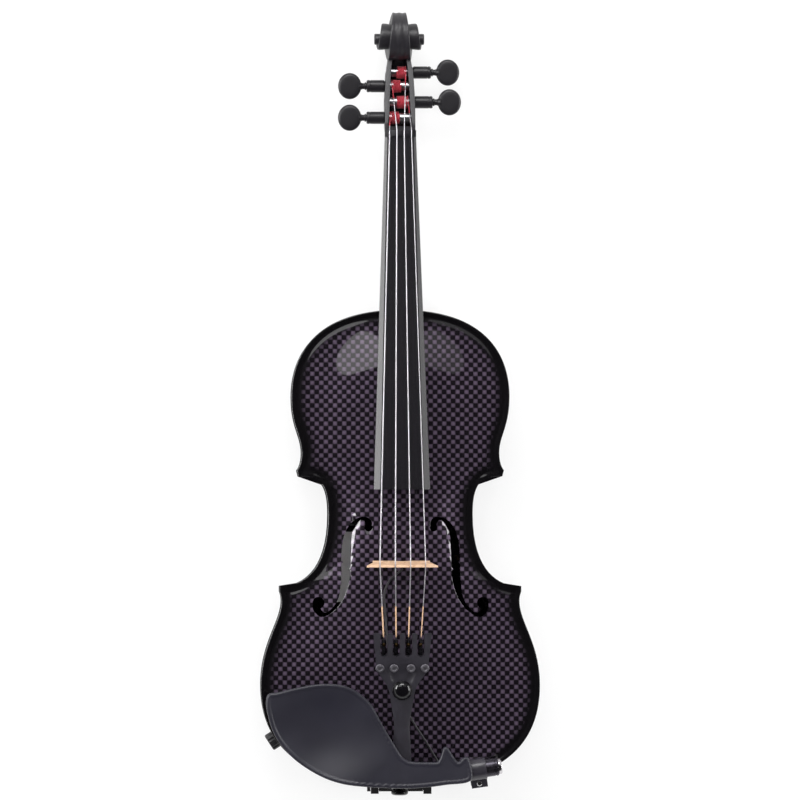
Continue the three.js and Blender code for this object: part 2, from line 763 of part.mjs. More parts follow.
// The head's section: shares of half its width and of its thickness
const pegHeadShares = [[0, -0.45], [0.8, -0.42], [1, -0.14], [1, 0.14], [0.8, 0.42], [0, 0.45]];
// The neck's end inside the head: shares of its radius and of its own length
const pegNeckEnd = 2.4;
const pegNeckEndShares = [[1, -0.25], [1.35, 0.75], [0, 1]];

function pegboxHalfWidth(y) {
  const run = (y - pegboxStart) / pegboxRun;
  const after = pegboxStationShares.findIndex(([share]) => share > run);
  const [low, high] = [pegboxStationShares[after - 1], pegboxStationShares[after]];
  return nutWidth / 2 * THREE.MathUtils.mapLinear(run, low[0], high[0], low[1], high[1]);
}

function cavityHalfWidth(y) {
  const run = (y - pegboxStart) / pegboxRun;
  const after = Math.max(1, cavityShares.findIndex(([share]) => share > run));
  const [low, high] = [cavityShares[after - 1], cavityShares[after]];
  return nutWidth / 2 * THREE.MathUtils.mapLinear(run, low[0], high[0], low[1], high[1]);
}

for (const peg of pegs) {
  peg.y = pegboxStart + pegboxRun * peg.runShare;
  peg.z = rimLevel(peg.y) - pegboxDepth * peg.depthShare;
  peg.wall = Math.max(pegboxHalfWidth(peg.y - collarRadius), pegboxHalfWidth(peg.y));
  peg.inside = cavityHalfWidth(peg.y);
}

function pegHoles() {
  return pegs.flatMap((peg) => [
    rod(
      at(0, peg.y, peg.z),
      at(peg.side * (peg.wall + overrun), peg.y, peg.z),
      collarSeatRadius + runningGap,
    ),
    rod(at(0, peg.y, peg.z), at(-peg.side * (peg.wall + overrun), peg.y, peg.z), spoolEndRadius + runningGap),
  ]);
}

// Neck: shaft, heel and root in one piece with the pegbox and scroll
const shaftShares = [-0.05, 0.06, 0.3, 0.55, 0.78, 1];
const shaftArcSteps = 9;
const shaftRoundness = 0.8;
const shaftRings = shaftShares.map((share) => {
  const y = nutFace - neckStop * share;
  const half = boardWidth(y) / 2 - boardMargin;
  const depth = THREE.MathUtils.lerp(neckDepthAtNut, neckDepthAtBody, Math.max(0, share));
  const ring = [];
  for (let i = 0; i <= shaftArcSteps; i++) {
    const angle = Math.PI * i / shaftArcSteps;
    const down = Math.abs(Math.sin(angle)) ** shaftRoundness;
    ring.push(at(half * Math.cos(angle), y, glueLevel(y) - depth * down));
  }
  return ring;
});
// The heel's stations: shares of its height, of its widening and of its reach along the neck
const heelReach = 40;
const heelShares = [
  [0, 0, 0.28], [0.13, 0.05, 0.245], [0.33, 0.25, 0.235], [0.53, 0.5, 0.265], [0.68, 0.7, 0.325],
  [0.8, 0.85, 0.4625], [0.9, 0.94, 0.675], [0.98, 1, 1],
];
const heelRings = heelShares.map(([level, widening, reach]) => {
  const z = THREE.MathUtils.lerp(backSeat, glueLevel(bodyTop), level);
  const half = THREE.MathUtils.lerp(rootFootWidth / 2, rootTopHalf, widening);
  const ring = [];
  for (let i = 0; i <= shaftArcSteps; i++) {
    const angle = Math.PI * i / shaftArcSteps;
    ring.push(at(half * Math.cos(angle), bodyTop + heelReach * reach * Math.sin(angle), z));
  }
  return ring;
});
const farAbove = glueLevel(boardEnd) + 10 * overrun;
const overGlue = sideSlab([
  new THREE.Vector2(bodyTop - 3 * rootDepth, glueLevel(bodyTop - 3 * rootDepth)),
  new THREE.Vector2(nutFace + nutThickness, glueLevel(nutFace + nutThickness)),
  new THREE.Vector2(nutFace + nutThickness, farAbove),
  new THREE.Vector2(bodyTop - 3 * rootDepth, farAbove),
], -boardEndWidth, boardEndWidth);
const root = rootPrism(0, bodyTop - rootDepth, bodyTop + edgeOverhang / 2, rootTop);
const shaft = cut(join(toSolid(skin(shaftRings)), toSolid(skin(heelRings)), root), overGlue);
const nutSeat = block(
  at(-nutWidth, nutFace - 3 * overrun, glueLevel(nutFace + nutThickness)),
  at(nutWidth, nutFace + nutThickness + gap, farAbove),
);
const pegbox = cut(toSolid(skin(pegboxRings(pegboxStationShares))), nutSeat);
const head = cut(
  join(pegbox, scrollTurn(0), scrollTurn(1), scrollEye),
  toSolid(skin(cavityRings())),
  ...pegHoles(),
);
addPiece("neck", join(shaft, head), "satinBlack");

// Fingerboard
const boardArcSteps = 10;
const boardShares = [0, 0.5, 1];
const boardRings = boardShares.map((share) => {
  const y = nutFace - fingerboardLength * share;
  const half = boardWidth(y) / 2;
  const ring = [at(-half, y, glueLevel(y) + gap), at(half, y, glueLevel(y) + gap)];
  for (let i = 0; i <= boardArcSteps; i++) {
    const x = half * (1 - 2 * i / boardArcSteps);
    ring.push(at(x, y, boardTop(x, y)));
  }
  return ring;
});
addPiece("fingerboard", skin(boardRings), "satinBlack");

// Strings: name, place across as a share of the spacing, radius, height over the end of the fingerboard
const strings = [
  { name: "g", share: -1 / 2, radius: 0.42, clear: 5.4 },
  { name: "d", share: -1 / 6, radius: 0.42, clear: 4.9 },
  { name: "a", share: 1 / 6, radius: 0.38, clear: 4.2 },
  { name: "e", share: 1 / 2, radius: 0.3, clear: 3.5 },
];
const stringFloat = 0.5;
const notchGap = 0.34;

for (const string of strings) {
  string.nutX = nutSpacing * string.share;
  string.bridgeX = bridgeSpacing * string.share;
  string.nutZ = boardTop(string.nutX, nutFace) + stringFloat + string.radius;
  const run = (nutFace - bridgeLine) / (nutFace - boardEnd);
  const alongX = THREE.MathUtils.lerp(string.nutX, string.bridgeX, 1 / run);
  const endLevel = boardTop(alongX, boardEnd) + string.clear + string.radius;
  string.bridgeZ = string.nutZ + (endLevel - string.nutZ) * run;
}

// Bridge faces, saddle and the tailpiece's line
const bridgeFootThickness = 4.9;
const bridgeCrownThickness = 1.8;
const tailFace = bridgeLine - bridgeFootThickness / 2;
const boardFace = tailFace + bridgeFootThickness;
const saddleWidth = 26;
const saddleDepth = 7;
const saddleInset = 0.8;
const saddleSink = 1.5;
const saddleShoulder = 1;
const saddleY = bodyBottom + saddleInset + saddleDepth / 2;
const saddleTop = topEdge + saddleRise;
const tailLow = saddleY + tailEndGap;
const tailHigh = tailLow + tailLength;
const tailClear = 2.8;
const middleStringZ = (strings[1].bridgeZ + strings[2].bridgeZ) / 2;
const tailSlope = (middleStringZ - saddleTop - tailClear) / (bridgeLine - saddleY);
const slotSpread = 27.4;
const ballRadius = 1.5;
const ballBehind = 8.6;
const ballY = tailHigh - ballBehind;
for (const string of strings) {
  string.slotX = slotSpread * string.share;
}

function tailLevel(y) {
  return saddleTop + tailClear + (y - saddleY) * tailSlope;
}

// Each string bends over the bridge and the nut, and ends just short of its winding
const silkRadius = 0.45;
const silkPitch = 1.36;
const windingGap = 0.35;
const windingRadius = spoolRadius + windingGap + silkRadius;
const windingInset = 1;
const stringEndGap = 0.4;
const bendLead = 0.5;
const bendDrop = 0.2;
const nutFallShare = 0.6;
for (const string of strings) {
  const peg = pegs.find((item) => item.string === string.name);
  peg.windingX = peg.side * (peg.inside - windingInset - silkRadius);
  const nutBack = nutFace + nutThickness;
  const startZ = string.nutZ - nutThickness * pegboxFall * nutFallShare;
  const [runY, runZ] = [nutBack - peg.y, startZ - peg.z];
  const turn = Math.atan2(runZ, runY) - Math.acos(windingRadius / Math.hypot(runY, runZ));
  peg.tangentAngle = turn;
  const tangent = at(
    peg.windingX,
    peg.y + windingRadius * Math.cos(turn),
    peg.z + windingRadius * Math.sin(turn),
  );
  const nutExit = at(string.nutX, nutBack, startZ);
  const short = 1 - (2 * silkRadius + stringEndGap) / tangent.distanceTo(nutExit);
  string.points = [
    at(string.slotX, ballY, tailLevel(ballY)),
    at(string.bridgeX, tailFace - bendLead, string.bridgeZ - bendDrop),
    at(string.bridgeX, tailFace + bridgeCrownThickness / 2, string.bridgeZ),
    at(string.bridgeX, boardFace + bendLead, string.bridgeZ - bendDrop),
    at(string.nutX, nutFace - bendLead, string.nutZ),
    at(string.nutX, nutFace + nutThickness / 2, string.nutZ - bendDrop / 2),
    nutExit,
    nutExit.clone().lerp(tangent, short),
  ];
}

// Nut
const nutArcSteps = 8;
const nutRings = [nutFace + gap / 2, nutFace + nutThickness].map((y) => {
  const half = nutWidth / 2;
  const ring = [at(-half, y, glueLevel(nutFace) + gap), at(half, y, glueLevel(nutFace) + gap)];
  for (let i = 0; i <= nutArcSteps; i++) {
    const x = half * (1 - 2 * i / nutArcSteps);
    const drop = (y - nutFace) / nutThickness * nutRise;
    ring.push(at(x, y, boardTop(x, nutFace) + nutRise - drop));
  }
  return ring;
});
const notches = strings.map((string) => toSolid(tube(string.points, string.radius + notchGap)));
addPiece("nut", cut(toSolid(skin(nutRings)), ...notches), "satinBlack");

// Bridge: drawn in the front view, then thinned towards the strings on the fingerboard side. Its sides
// hold shares of half the wings or of half the feet, and of its height.
const bridgeWings = 53;
const bridgeFoot = topSeat + topArch;
const bridgeArcSteps = 10;
const wingShares = [[1, 0.62], [0.887, 0.52], [0.66, 0.46], [0.547, 0.36], [0.506, 0.27]];
const footShares = [
  [0.729, 0.17], [0.887, 0.13], [1, 0.06], [1, -0.068], [0.435, -0.068], [0.388, 0.08], [0.282, 0.2],
  [0.141, 0.26],
];
const bridgeArchShare = 0.28;
const crownSinkShare = 0.4;

function crownLevel(x) {
  const spans = strings.map((string) => string.bridgeX);
  const levels = strings.map((string) => string.bridgeZ - string.radius * crownSinkShare);
  const next = spans.findIndex((span) => span > x);
  const after = next < 0 ? spans.length - 1 : Math.max(1, next);
  const [a, b] = [after - 1, after];
  const chord = THREE.MathUtils.mapLinear(x, spans[a], spans[b], levels[a], levels[b]);
  const between = Math.max(0, (x - spans[a]) * (spans[b] - x)) / (2 * boardRadius);
  const beyond = Math.max(0, Math.abs(x) - bridgeSpacing / 2);
  return chord + between - beyond ** 2 / boardRadius;
}

function bridgeOutline() {
  const halfWing = bridgeWings / 2;
  const rise = crownLevel(0) - bridgeFoot;
  const level = (share) => bridgeFoot + rise * share;
  const side = [
    ...wingShares.map(([across, up]) => [halfWing * across, level(up)]),
    ...footShares.map(([across, up]) => [footSpan / 2 * across, level(up)]),
  ];
  const crown = [];
  for (let i = 0; i <= bridgeArcSteps; i++) {
    const x = halfWing * (2 * i / bridgeArcSteps - 1);
    crown.push([x, crownLevel(x)]);
  }
  const mirrored = side.slice().reverse().map(([x, z]) => [-x, z]);
  const all = [...crown, ...side, [0, level(bridgeArchShare)], ...mirrored];
  return all.map(([x, z]) => new THREE.Vector2(x, z));
}
const bridgeCrown = Math.max(...strings.map((string) => string.bridgeZ));
const faceTaper = sideSlab([
  new THREE.Vector2(boardFace, bridgeFoot + bridgeHeight / 4),
  new THREE.Vector2(tailFace + bridgeCrownThickness, bridgeCrown),
  new THREE.Vector2(tailFace + bridgeCrownThickness, bridgeCrown + overrun),
  new THREE.Vector2(boardFace + overrun, bridgeCrown + overrun),
  new THREE.Vector2(boardFace + overrun, bridgeFoot + bridgeHeight / 4),
], -bridgeWings, bridgeWings);
const wingBevels = [-1, 1].map((side) => slab([
  new THREE.Vector2(side * footSpan / 2, boardFace + gap),
  new THREE.Vector2(side * (bridgeWings / 2 + gap), tailFace + bridgeCrownThickness / 3),
  new THREE.Vector2(side * bridgeWings, tailFace + bridgeCrownThickness / 3),
  new THREE.Vector2(side * bridgeWings, boardFace + overrun),
  new THREE.Vector2(side * footSpan / 2, boardFace + overrun),
], bridgeFoot + bridgeHeight / 3, bridgeHeight));
const kidneyRadius = 3.4;
const kidneyOffset = 12.4;
const kidneyLevelShare = 0.6;
const heartRadius = 3.2;
const heartLevelShare = 0.56;
const holeSides = 10;

function bridgeHole(x, levelShare, radius) {
  const z = bridgeFoot + bridgeHeight * levelShare;
  return rod(at(x, tailFace - overrun, z), at(x, boardFace + overrun, z), radius, radius, holeSides);
}
const bridgeHoles = [
  bridgeHole(-kidneyOffset, kidneyLevelShare, kidneyRadius),
  bridgeHole(kidneyOffset, kidneyLevelShare, kidneyRadius),
  bridgeHole(0, heartLevelShare, heartRadius),
];
const raisedTop = topSolid.translate([0, 0, gap]);
const bridgeBlank = frontSlab(bridgeOutline(), tailFace, boardFace);
const bridgeCutters = [faceTaper, ...wingBevels, ...bridgeHoles, ...notches, raisedTop];
addPiece("bridge", cut(bridgeBlank, ...bridgeCutters), "maple");

// Saddle: the raised bar at the tail end that the tail cord bends over
const saddleProfile = [
  [-saddleWidth / 2, topEdge - saddleSink], [saddleWidth / 2, topEdge - saddleSink],
  [saddleWidth / 2, topEdge + saddleShoulder], [saddleWidth / 4, saddleTop - saddleSink],
  [saddleWidth / 6, saddleTop], [-saddleWidth / 6, saddleTop], [-saddleWidth / 4, saddleTop - saddleSink],
  [-saddleWidth / 2, topEdge + saddleShoulder],
].map(([x, z]) => new THREE.Vector2(x, z));
const saddleBar = frontSlab(saddleProfile, saddleY - saddleDepth / 2, saddleY + saddleDepth / 2);
addPiece("saddle", cut(saddleBar, raisedTop), "glossBlack");

// End button: pressed into the end block, its groove holds the tail cord. Its head is drawn in shares of
// its radius and length.
const buttonHeadShares = [[0, 0], [0.72, 0], [0.95, 0.217], [1, 0.522], [0.9, 0.848]];
const buttonCollarShare = 0.86;
const buttonChamfer = 0.4;
const buttonTaperShare = 0.8;
const buttonSides = 14;
const buttonEnd = bodyBottom - buttonReach;
const collarStart = ribFoot - gap - buttonEnd - buttonCollar;
const collarFinish = collarStart + buttonCollar;
const endButtonProfile = [
  ...buttonHeadShares.map(([radius, along]) => [buttonRadius * radius, buttonHeadLength * along]),
  [buttonNeckRadius, buttonHeadLength], [buttonNeckRadius, collarStart],
  [buttonRadius * buttonCollarShare, collarStart + buttonChamfer],
  [buttonRadius * buttonCollarShare, collarFinish], [buttonShankRadius, collarFinish],
  [buttonShankRadius * buttonTaperShare, collarFinish + buttonShankLength],
  [0, collarFinish + buttonShankLength],
];
const endButton = turned(endButtonProfile, at(0, buttonEnd, buttonLevel), at(0, 1, 0), buttonSides);
addPiece("end_button", endButton, "glossBlack");

// Tailpiece: follows the line from the saddle to the top of the bridge
const tailWidth = 43.6;
const tailThickness = 6;
const tailHeadLength = 42.7;
const slotWidth = 5.3;
const slotLength = 17;
const tunerInset = 25;
const tunerSpread = 33.6;
const tunerInnerSpread = 12.6;
const tunerHeadRadius = 3.2;
const tunerHeadHeight = 2.6;
const tunerChamfer = 0.5;
const tunerShankRadius = 1.2;
const tunerStand = 1.6;
const domeInset = 42.5;
const domeRadius = 6.6;
const domeSeatRadius = 7.4;
const domeHeight = 5;
const domeFlange = 1;
const domeStep = 0.4;
const domeSink = 0.1;

// The tailpiece's stations, over its head and then its stem: shares of that part's length, of half the
// width, and of the thickness for the valley and the crown
const tailHeadShares = [
  [0, 1, 0, 0.067], [0.228, 0.959, 0, 0.133], [0.455, 0.913, 0.083, 0.167], [0.632, 0.881, 0.4, 0.183],
  [0.759, 0.734, 0.5, 0.2], [0.873, 0.569, 0.433, 0.2], [1, 0.454, 0.167, 0.217],
];
const tailStemShares = [
  [0.14, 0.376, 0, 0.267], [0.396, 0.266, 0, 0.267], [0.669, 0.317, 0, 0.2], [0.917, 0.349, 0, 0.133],
  [1, 0.294, 0, 0.067],
];
const tailFallShare = 0.28;
const valleyWidthShare = 0.62;
const undersideShare = 0.86;
const tailColumns = 10;

function tailRing(down, [halfShare, valley, crown]) {
  const y = tailHigh - down;
  const half = tailWidth / 2 * halfShare;
  const halfThickness = tailThickness / 2 * (1 - tailFallShare * down / tailLength);
  const ring = [];
  for (let i = 0; i <= tailColumns; i++) {
    const across = 2 * i / tailColumns - 1;
    const hollow = valley * (1 - Math.min(1, Math.abs(across) / valleyWidthShare) ** 2);
    const roof = halfThickness + tailThickness * (crown * (1 - across ** 2) - hollow);
    ring.push(at(half * across, y, tailLevel(y) + roof));
  }
  ring.push(at(half * undersideShare, y, tailLevel(y) - halfThickness));
  ring.push(at(-half * undersideShare, y, tailLevel(y) - halfThickness));
  return ring;
}
const tailStemLength = tailLength - tailHeadLength;
const tailRings = [
  ...tailHeadShares.map(([run, ...section]) => tailRing(tailHeadLength * run, section)),
  ...tailStemShares.map(([run, ...section]) => tailRing(tailHeadLength + tailStemLength * run, section)),
];
const tunerY = tailHigh - tunerInset;
const slotEnd = tailHigh - slotLength;
const tailUp = at(0, -tailSlope, 1).normalize();
for (const string of strings) {
  const outer = Math.abs(string.share) > 1 / 3;
  string.screwX = (outer ? tunerSpread : tunerInnerSpread) / 2 * Math.sign(string.share);
}
const slotCutters = strings.map((string) => {
  const radius = slotWidth / 2;
  const low = at(string.slotX - radius, slotEnd + radius, tailLevel(slotEnd) - 2 * tailThickness);
  const high = at(string.slotX + radius, tailHigh + overrun, tailLevel(tailHigh) + 2 * tailThickness);
  const round = at(string.slotX, slotEnd + radius, low.z);
  return join(block(low, high), rod(round, round.clone().setZ(high.z), radius, radius, holeSides));
});
const screwHoles = strings.map((string) => {
  const middle = at(string.screwX, tunerY, tailLevel(tunerY));
  const [low, high] = [along(middle, tailUp, -2 * tailThickness), along(middle, tailUp, 2 * tailThickness)];
  return rod(low, high, tunerShankRadius + gap, tunerShankRadius + gap, holeSides);
});
const domeY = tailHigh - domeInset;
const domeMiddle = at(0, domeY, tailLevel(domeY) + tailThickness / 2 + domeStep);
const domeSeat = rod(domeMiddle, along(domeMiddle, tailUp, 2 * tailThickness), domeSeatRadius + gap);
const cordSpread = 7;
const cordRadius = 0.95;
const cordHoles = [-1, 1].map((side) => {
  const y = tailLow + tailThickness;
  const from = at(side * cordSpread / 2, y, tailLevel(y));
  return rod(at(from.x, tailLow - overrun, tailLevel(tailLow - overrun)), from, cordRadius + gap);
});
const leverWidth = 3.4;
const leverThickness = 2;
const leverClear = 2.1;
const leverDrop = tailThickness / 2 + leverClear;
addPiece(
  "tailpiece",
  cut(toSolid(skin(tailRings)), ...slotCutters, ...screwHoles, domeSeat, ...cordHoles),
  "satinBlack",
);
const domeArcSteps = 5;
const domeSides = 20;
const domeFoot = domeFlange + domeStep;
const domeProfile = [
  [0, -domeSink], [domeSeatRadius, -domeSink], [domeSeatRadius, domeFlange], [domeRadius, domeFoot],
];
for (let i = 1; i < domeArcSteps; i++) {
  const angle = Math.PI / 2 * i / domeArcSteps;
  domeProfile.push([domeRadius * Math.cos(angle), domeFoot + (domeHeight - domeFoot) * Math.sin(angle)]);
}
domeProfile.push([0, domeHeight]);
const dome = turned(domeProfile, along(domeMiddle, tailUp, gap), tailUp, domeSides);
addPiece("tailpiece_dome", dome, "glossBlack");

// Tail cord: from the tailpiece over the saddle, round the end button's groove and back
const cordSide = [
  at(cordSpread / 2, tailLow + 4.5, tailLevel(tailLow + 4.5)),
  at(cordSpread / 2, tailLow - 0.6, tailLevel(tailLow - 0.6)),
  at(cordSpread / 2, saddleY - 1, saddleTop + cordRadius + 2 * gap),
  at(cordSpread / 2 + 0.4, saddleY - saddleDepth / 2 - 0.8, saddleTop + cordRadius + gap),
  at(cordSpread / 2 + 0.8, bodyBottom - cordRadius - gap - 0.4, saddleTop - 3.4),
  at(cordSpread / 2 + 1.6, bodyBottom - cordRadius - gap - 0.2, topEdge - 2),
];
const grooveY = buttonEnd + (buttonHeadLength + collarStart) / 2;
const loopRadius = buttonNeckRadius + cordRadius + gap;
const cordLoopSteps = 8;
const cordSides = 6;
const cordLoop = [];
for (let i = 0; i <= cordLoopSteps; i++) {
  const angle = Math.PI * i / cordLoopSteps;
  cordLoop.push(at(loopRadius * Math.cos(angle), grooveY, buttonLevel - loopRadius * Math.sin(angle)));
}
const cordBack = cordSide.map((point) => at(-point.x, point.y, point.z)).reverse();
addPiece("tail_cord", tube([...cordSide, ...cordLoop, ...cordBack], cordRadius, cordSides), "glossBlack");

// Fine tuners: a screw presses on the long arm of a lever, whose fork holds the string's ball
const forkThickness = 1.6;
const forkRise = 0.6;
const forkSlit = 0.57;
const slitDrop = 1.4;
const leverCorner = 1;
const ballGap = 0.9;
const tunerSides = 12;
const tunerFootShare = 0.8;
const tunerTopShare = 0.7;
for (const string of strings) {
  const screwFoot = at(string.screwX, tunerY, tailLevel(tunerY));
  const shankLow = along(screwFoot, tailUp, -leverDrop);
  const shankLength = leverDrop + tailThickness / 2 + tunerStand;
  const headTop = shankLength + tunerHeadHeight;
  const screwProfile = [
    [0, 0], [tunerShankRadius, 0], [tunerShankRadius, shankLength],
    [tunerHeadRadius * tunerFootShare, shankLength], [tunerHeadRadius, shankLength + tunerChamfer],
    [tunerHeadRadius, headTop - tunerChamfer], [tunerHeadRadius * tunerTopShare, headTop], [0, headTop],
  ];
  const screw = turned(screwProfile, shankLow, tailUp, tunerSides);
  addPiece(`fine_tuner_screw_${string.name}`, screw, "blackMetal");
  const forkFront = ballY + ballRadius + ballGap + forkThickness;
  const forkBack = forkFront - forkThickness;
  const forkTop = tailLevel(ballY) + ballRadius + forkRise;
  const armTop = (y) => tailLevel(y) - leverDrop - gap;
  const armEnd = tunerY - leverThickness;
  const leverProfile = [
    [forkFront, forkTop], [forkFront, armTop(forkFront) - leverThickness],
    [armEnd, armTop(armEnd) - leverThickness], [armEnd, armTop(armEnd)],
    [forkBack - leverCorner, armTop(forkBack - leverCorner)],
    [forkBack, armTop(forkBack) + leverCorner], [forkBack, forkTop],
  ].map(([y, z]) => new THREE.Vector2(y, z));
  const hook = sideSlab(leverProfile, string.slotX - leverWidth / 2, string.slotX + leverWidth / 2);
  const slit = string.radius + forkSlit;
  const forkGap = block(
    at(string.slotX - slit, forkBack - overrun, tailLevel(ballY) - slitDrop),
    at(string.slotX + slit, forkFront + overrun, forkTop + overrun),
  );
  const padEnd = tunerY + leverThickness;
  const padProfile = [
    new THREE.Vector2(armEnd, armTop(armEnd) - leverThickness),
    new THREE.Vector2(padEnd, armTop(padEnd) - leverThickness),
    new THREE.Vector2(padEnd, armTop(padEnd)),
    new THREE.Vector2(armEnd, armTop(armEnd)),
  ];
  const padLow = Math.min(string.slotX, string.screwX) - leverWidth / 2;
  const padHigh = Math.max(string.slotX, string.screwX) + leverWidth / 2;
  const pad = sideSlab(padProfile, padLow, padHigh);
  addPiece(`fine_tuner_lever_${string.name}`, join(cut(hook, forkGap), pad), "blackMetal");
}

// Strings: the plain string, its silk at the tail end and the ball
const silkShare = 0.5;
const silkThickShare = 1.35;
const silkThinShare = 1.2;
const stringSides = 6;
for (const string of strings) {
  const line = tube(string.points, string.radius, stringSides);
  const [ball, bridgeTop] = [string.points[0], string.points[1]];
  const silkEnd = ball.clone().lerp(bridgeTop, silkShare);
  const [thick, thin] = [string.radius * silkThickShare, string.radius * silkThinShare];
  const silkLine = rod(ball, silkEnd, thick, thin, stringSides);
  const anchor = new THREE.SphereGeometry(ballRadius, 8, 5).translate(ball.x, ballY, ball.z);
  addPiece(`string_${string.name}`, join(toSolid(line), silkLine, toSolid(anchor)), "steel");
}

// Windings: the red silk end of each string, wound on its peg's spool as one unbroken tube
const loopSteps = 12;
const windingRun = 2 * silkRadius;
for (const peg of pegs) {
  const points = [];
  for (let i = 0; i <= peg.loops * loopSteps; i++) {
    const turn = peg.tangentAngle - 2 * Math.PI * i / loopSteps;
    const x = peg.windingX - peg.side * silkPitch * i / loopSteps;
    points.push(at(x, peg.y + windingRadius * Math.cos(turn), peg.z + windingRadius * Math.sin(turn)));
  }
  const endTurn = peg.tangentAngle - 2 * Math.PI * peg.loops;
  const startRun = at(0, Math.sin(peg.tangentAngle), -Math.cos(peg.tangentAngle)).multiplyScalar(windingRun);
  const endRun = at(0, -Math.sin(endTurn), Math.cos(endTurn)).multiplyScalar(windingRun);
  points.unshift(points[0].clone().sub(startRun));
  points.push(points.at(-1).clone().sub(endRun));
  let least = Infinity;
  for (let i = 0; i < points.length; i++) {
    for (let j = i + loopSteps / 2; j < points.length; j++) {
      least = Math.min(least, points[i].distanceTo(points[j]) - 2 * silkRadius);
    }
  }
  console.log(`winding ${peg.string}: least gap to itself ${least.toFixed(2)} mm`);
  addPiece(`winding_${peg.string}`, tube(points, silkRadius, 5), "redSilk");
}

// Pegs: a fixed collar holds a reduction gear, the head turns it and the spool turns a quarter as fast
const pegSides = 12;
for (const peg of pegs) {
  const out = at(peg.side, 0, 0);
  const middle = at(0, peg.y, peg.z);
  const wallOut = peg.wall + gap;
  const wallIn = peg.inside - collarSetback;
  const collarEnd = peg.wall + collarLength;
  const boreRadius = pegNeckRadius + runningGap;
  const collarProfile = [
    [0, wallOut + collarFloor], [boreRadius, wallOut + collarFloor], [boreRadius, collarEnd],
    [collarRadius * collarMouthShare, collarEnd], [collarRadius, collarEnd - collarChamfer],
    [collarRadius, wallOut], [collarSeatRadius, wallOut], [collarSeatRadius, wallIn], [0, wallIn],
  ];
  addPiece(`peg_collar_${peg.string}`, turned(collarProfile, middle, out, pegSides), "pegBlack");
  const farEnd = peg.wall + spoolTip;
  const shoulder = peg.inside - spoolShoulder;
  const spoolStart = wallIn - gap;
  const spoolProfile = [
    [0, -farEnd], [spoolEndRadius, -farEnd], [spoolEndRadius, -shoulder], [spoolRadius, -shoulder],
    [spoolRadius, spoolStart], [0, spoolStart],
  ];
  addPiece(`peg_spool_${peg.string}`, turned(spoolProfile, middle, out, pegSides), "steel");
  const headStart = collarEnd + pegNeckLength;
  const discProfile = pegHeadShares.map(([across, up]) => [pegHeadWidth / 2 * across, pegHeadThickness * up]);
  const disc = turned(discProfile, at(0, 0, 0), at(0, 0, 1)).scale([pegHeadLength / pegHeadWidth, 1, 1]);
  const placed = disc.translate([peg.side * (headStart + pegHeadLength / 2), peg.y, peg.z]);
  const neckProfile = [
    [0, wallOut + collarFloor + gap], [pegNeckRadius, wallOut + collarFloor + gap],
    ...pegNeckEndShares.map(([radius, run]) => [pegNeckRadius * radius, headStart + pegNeckEnd * run]),
  ];
  const pegHead = join(placed, turned(neckProfile, middle, out, pegSides));
  addPiece(`peg_head_${peg.string}`, pegHead, "pegBlack");
}

// Chinrest: a shallow cup on the bass side and a bar over the tailpiece, with two feet. Its outline holds
// shares of its width, from the centre line, and of its depth, from the body's end.
const chinrestWidth = 153;
const chinrestDepth = 78;
const chinrestRise = 28.5;
const chinrestBarRise = 25;
const chinrestWall = 4.6;
const cupDepth = 8;
const corkThickness = 3;
const clampSpacing = 39.4;
const chinrestRim = topEdge + chinrestRise;
const chinrestBar = topEdge + chinrestBarRise;
const chinrestSeat = topEdge + corkThickness;
const cupCentreShares = [-0.373, 0.479];
const cupReachShares = [0.34, 0.56];
const cupPower = 2;
const chinrestShares = [
  [-0.659, 0.853], [-0.644, 0.887], [-0.604, 0.897], [-0.499, 0.945], [-0.4, 0.976], [-0.31, 0.971],
  [-0.244, 0.932], [-0.185, 0.851], [-0.144, 0.763], [-0.085, 0.554], [-0.01, 0.31], [0.02, 0.254],
  [0.058, 0.232], [0.164, 0.228], [0.179, 0.249], [0.189, 0.287], [0.199, 0.351], [0.208, 0.374],
  [0.218, 0.374], [0.229, 0.353], [0.268, 0.238], [0.284, 0.241], [0.295, 0.269], [0.31, 0.276],
  [0.328, 0.256], [0.338, 0.053], [0.214, 0.009], [0.114, -0.015], [-0.01, -0.024], [-0.219, -0.001],
  [-0.333, 0.044], [-0.429, 0.127], [-0.521, 0.25], [-0.589, 0.391], [-0.625, 0.508], [-0.648, 0.629],
  [-0.662, 0.763],
];
const chinrestPlace = ([across, up]) => {
  return new THREE.Vector2(chinrestWidth * across, bodyBottom + chinrestDepth * up);
};
const chinrestPoints = chinrestShares.map(chinrestPlace);
const cupCentre = chinrestPlace(cupCentreShares);
const cupReach = new THREE.Vector2(chinrestWidth * cupReachShares[0], chinrestDepth * cupReachShares[1]);

function chinrestRoof(x, y) {
  const dish = Math.hypot((x - cupCentre.x) / cupReach.x, (y - cupCentre.y) / cupReach.y);
  const hollow = cupDepth * Math.max(0, 1 - dish ** 2) ** cupPower;
  const toBar = THREE.MathUtils.smoothstep(x, cupCentre.x, 0);
  return THREE.MathUtils.lerp(chinrestRim, chinrestBar, toBar) - hollow;
}

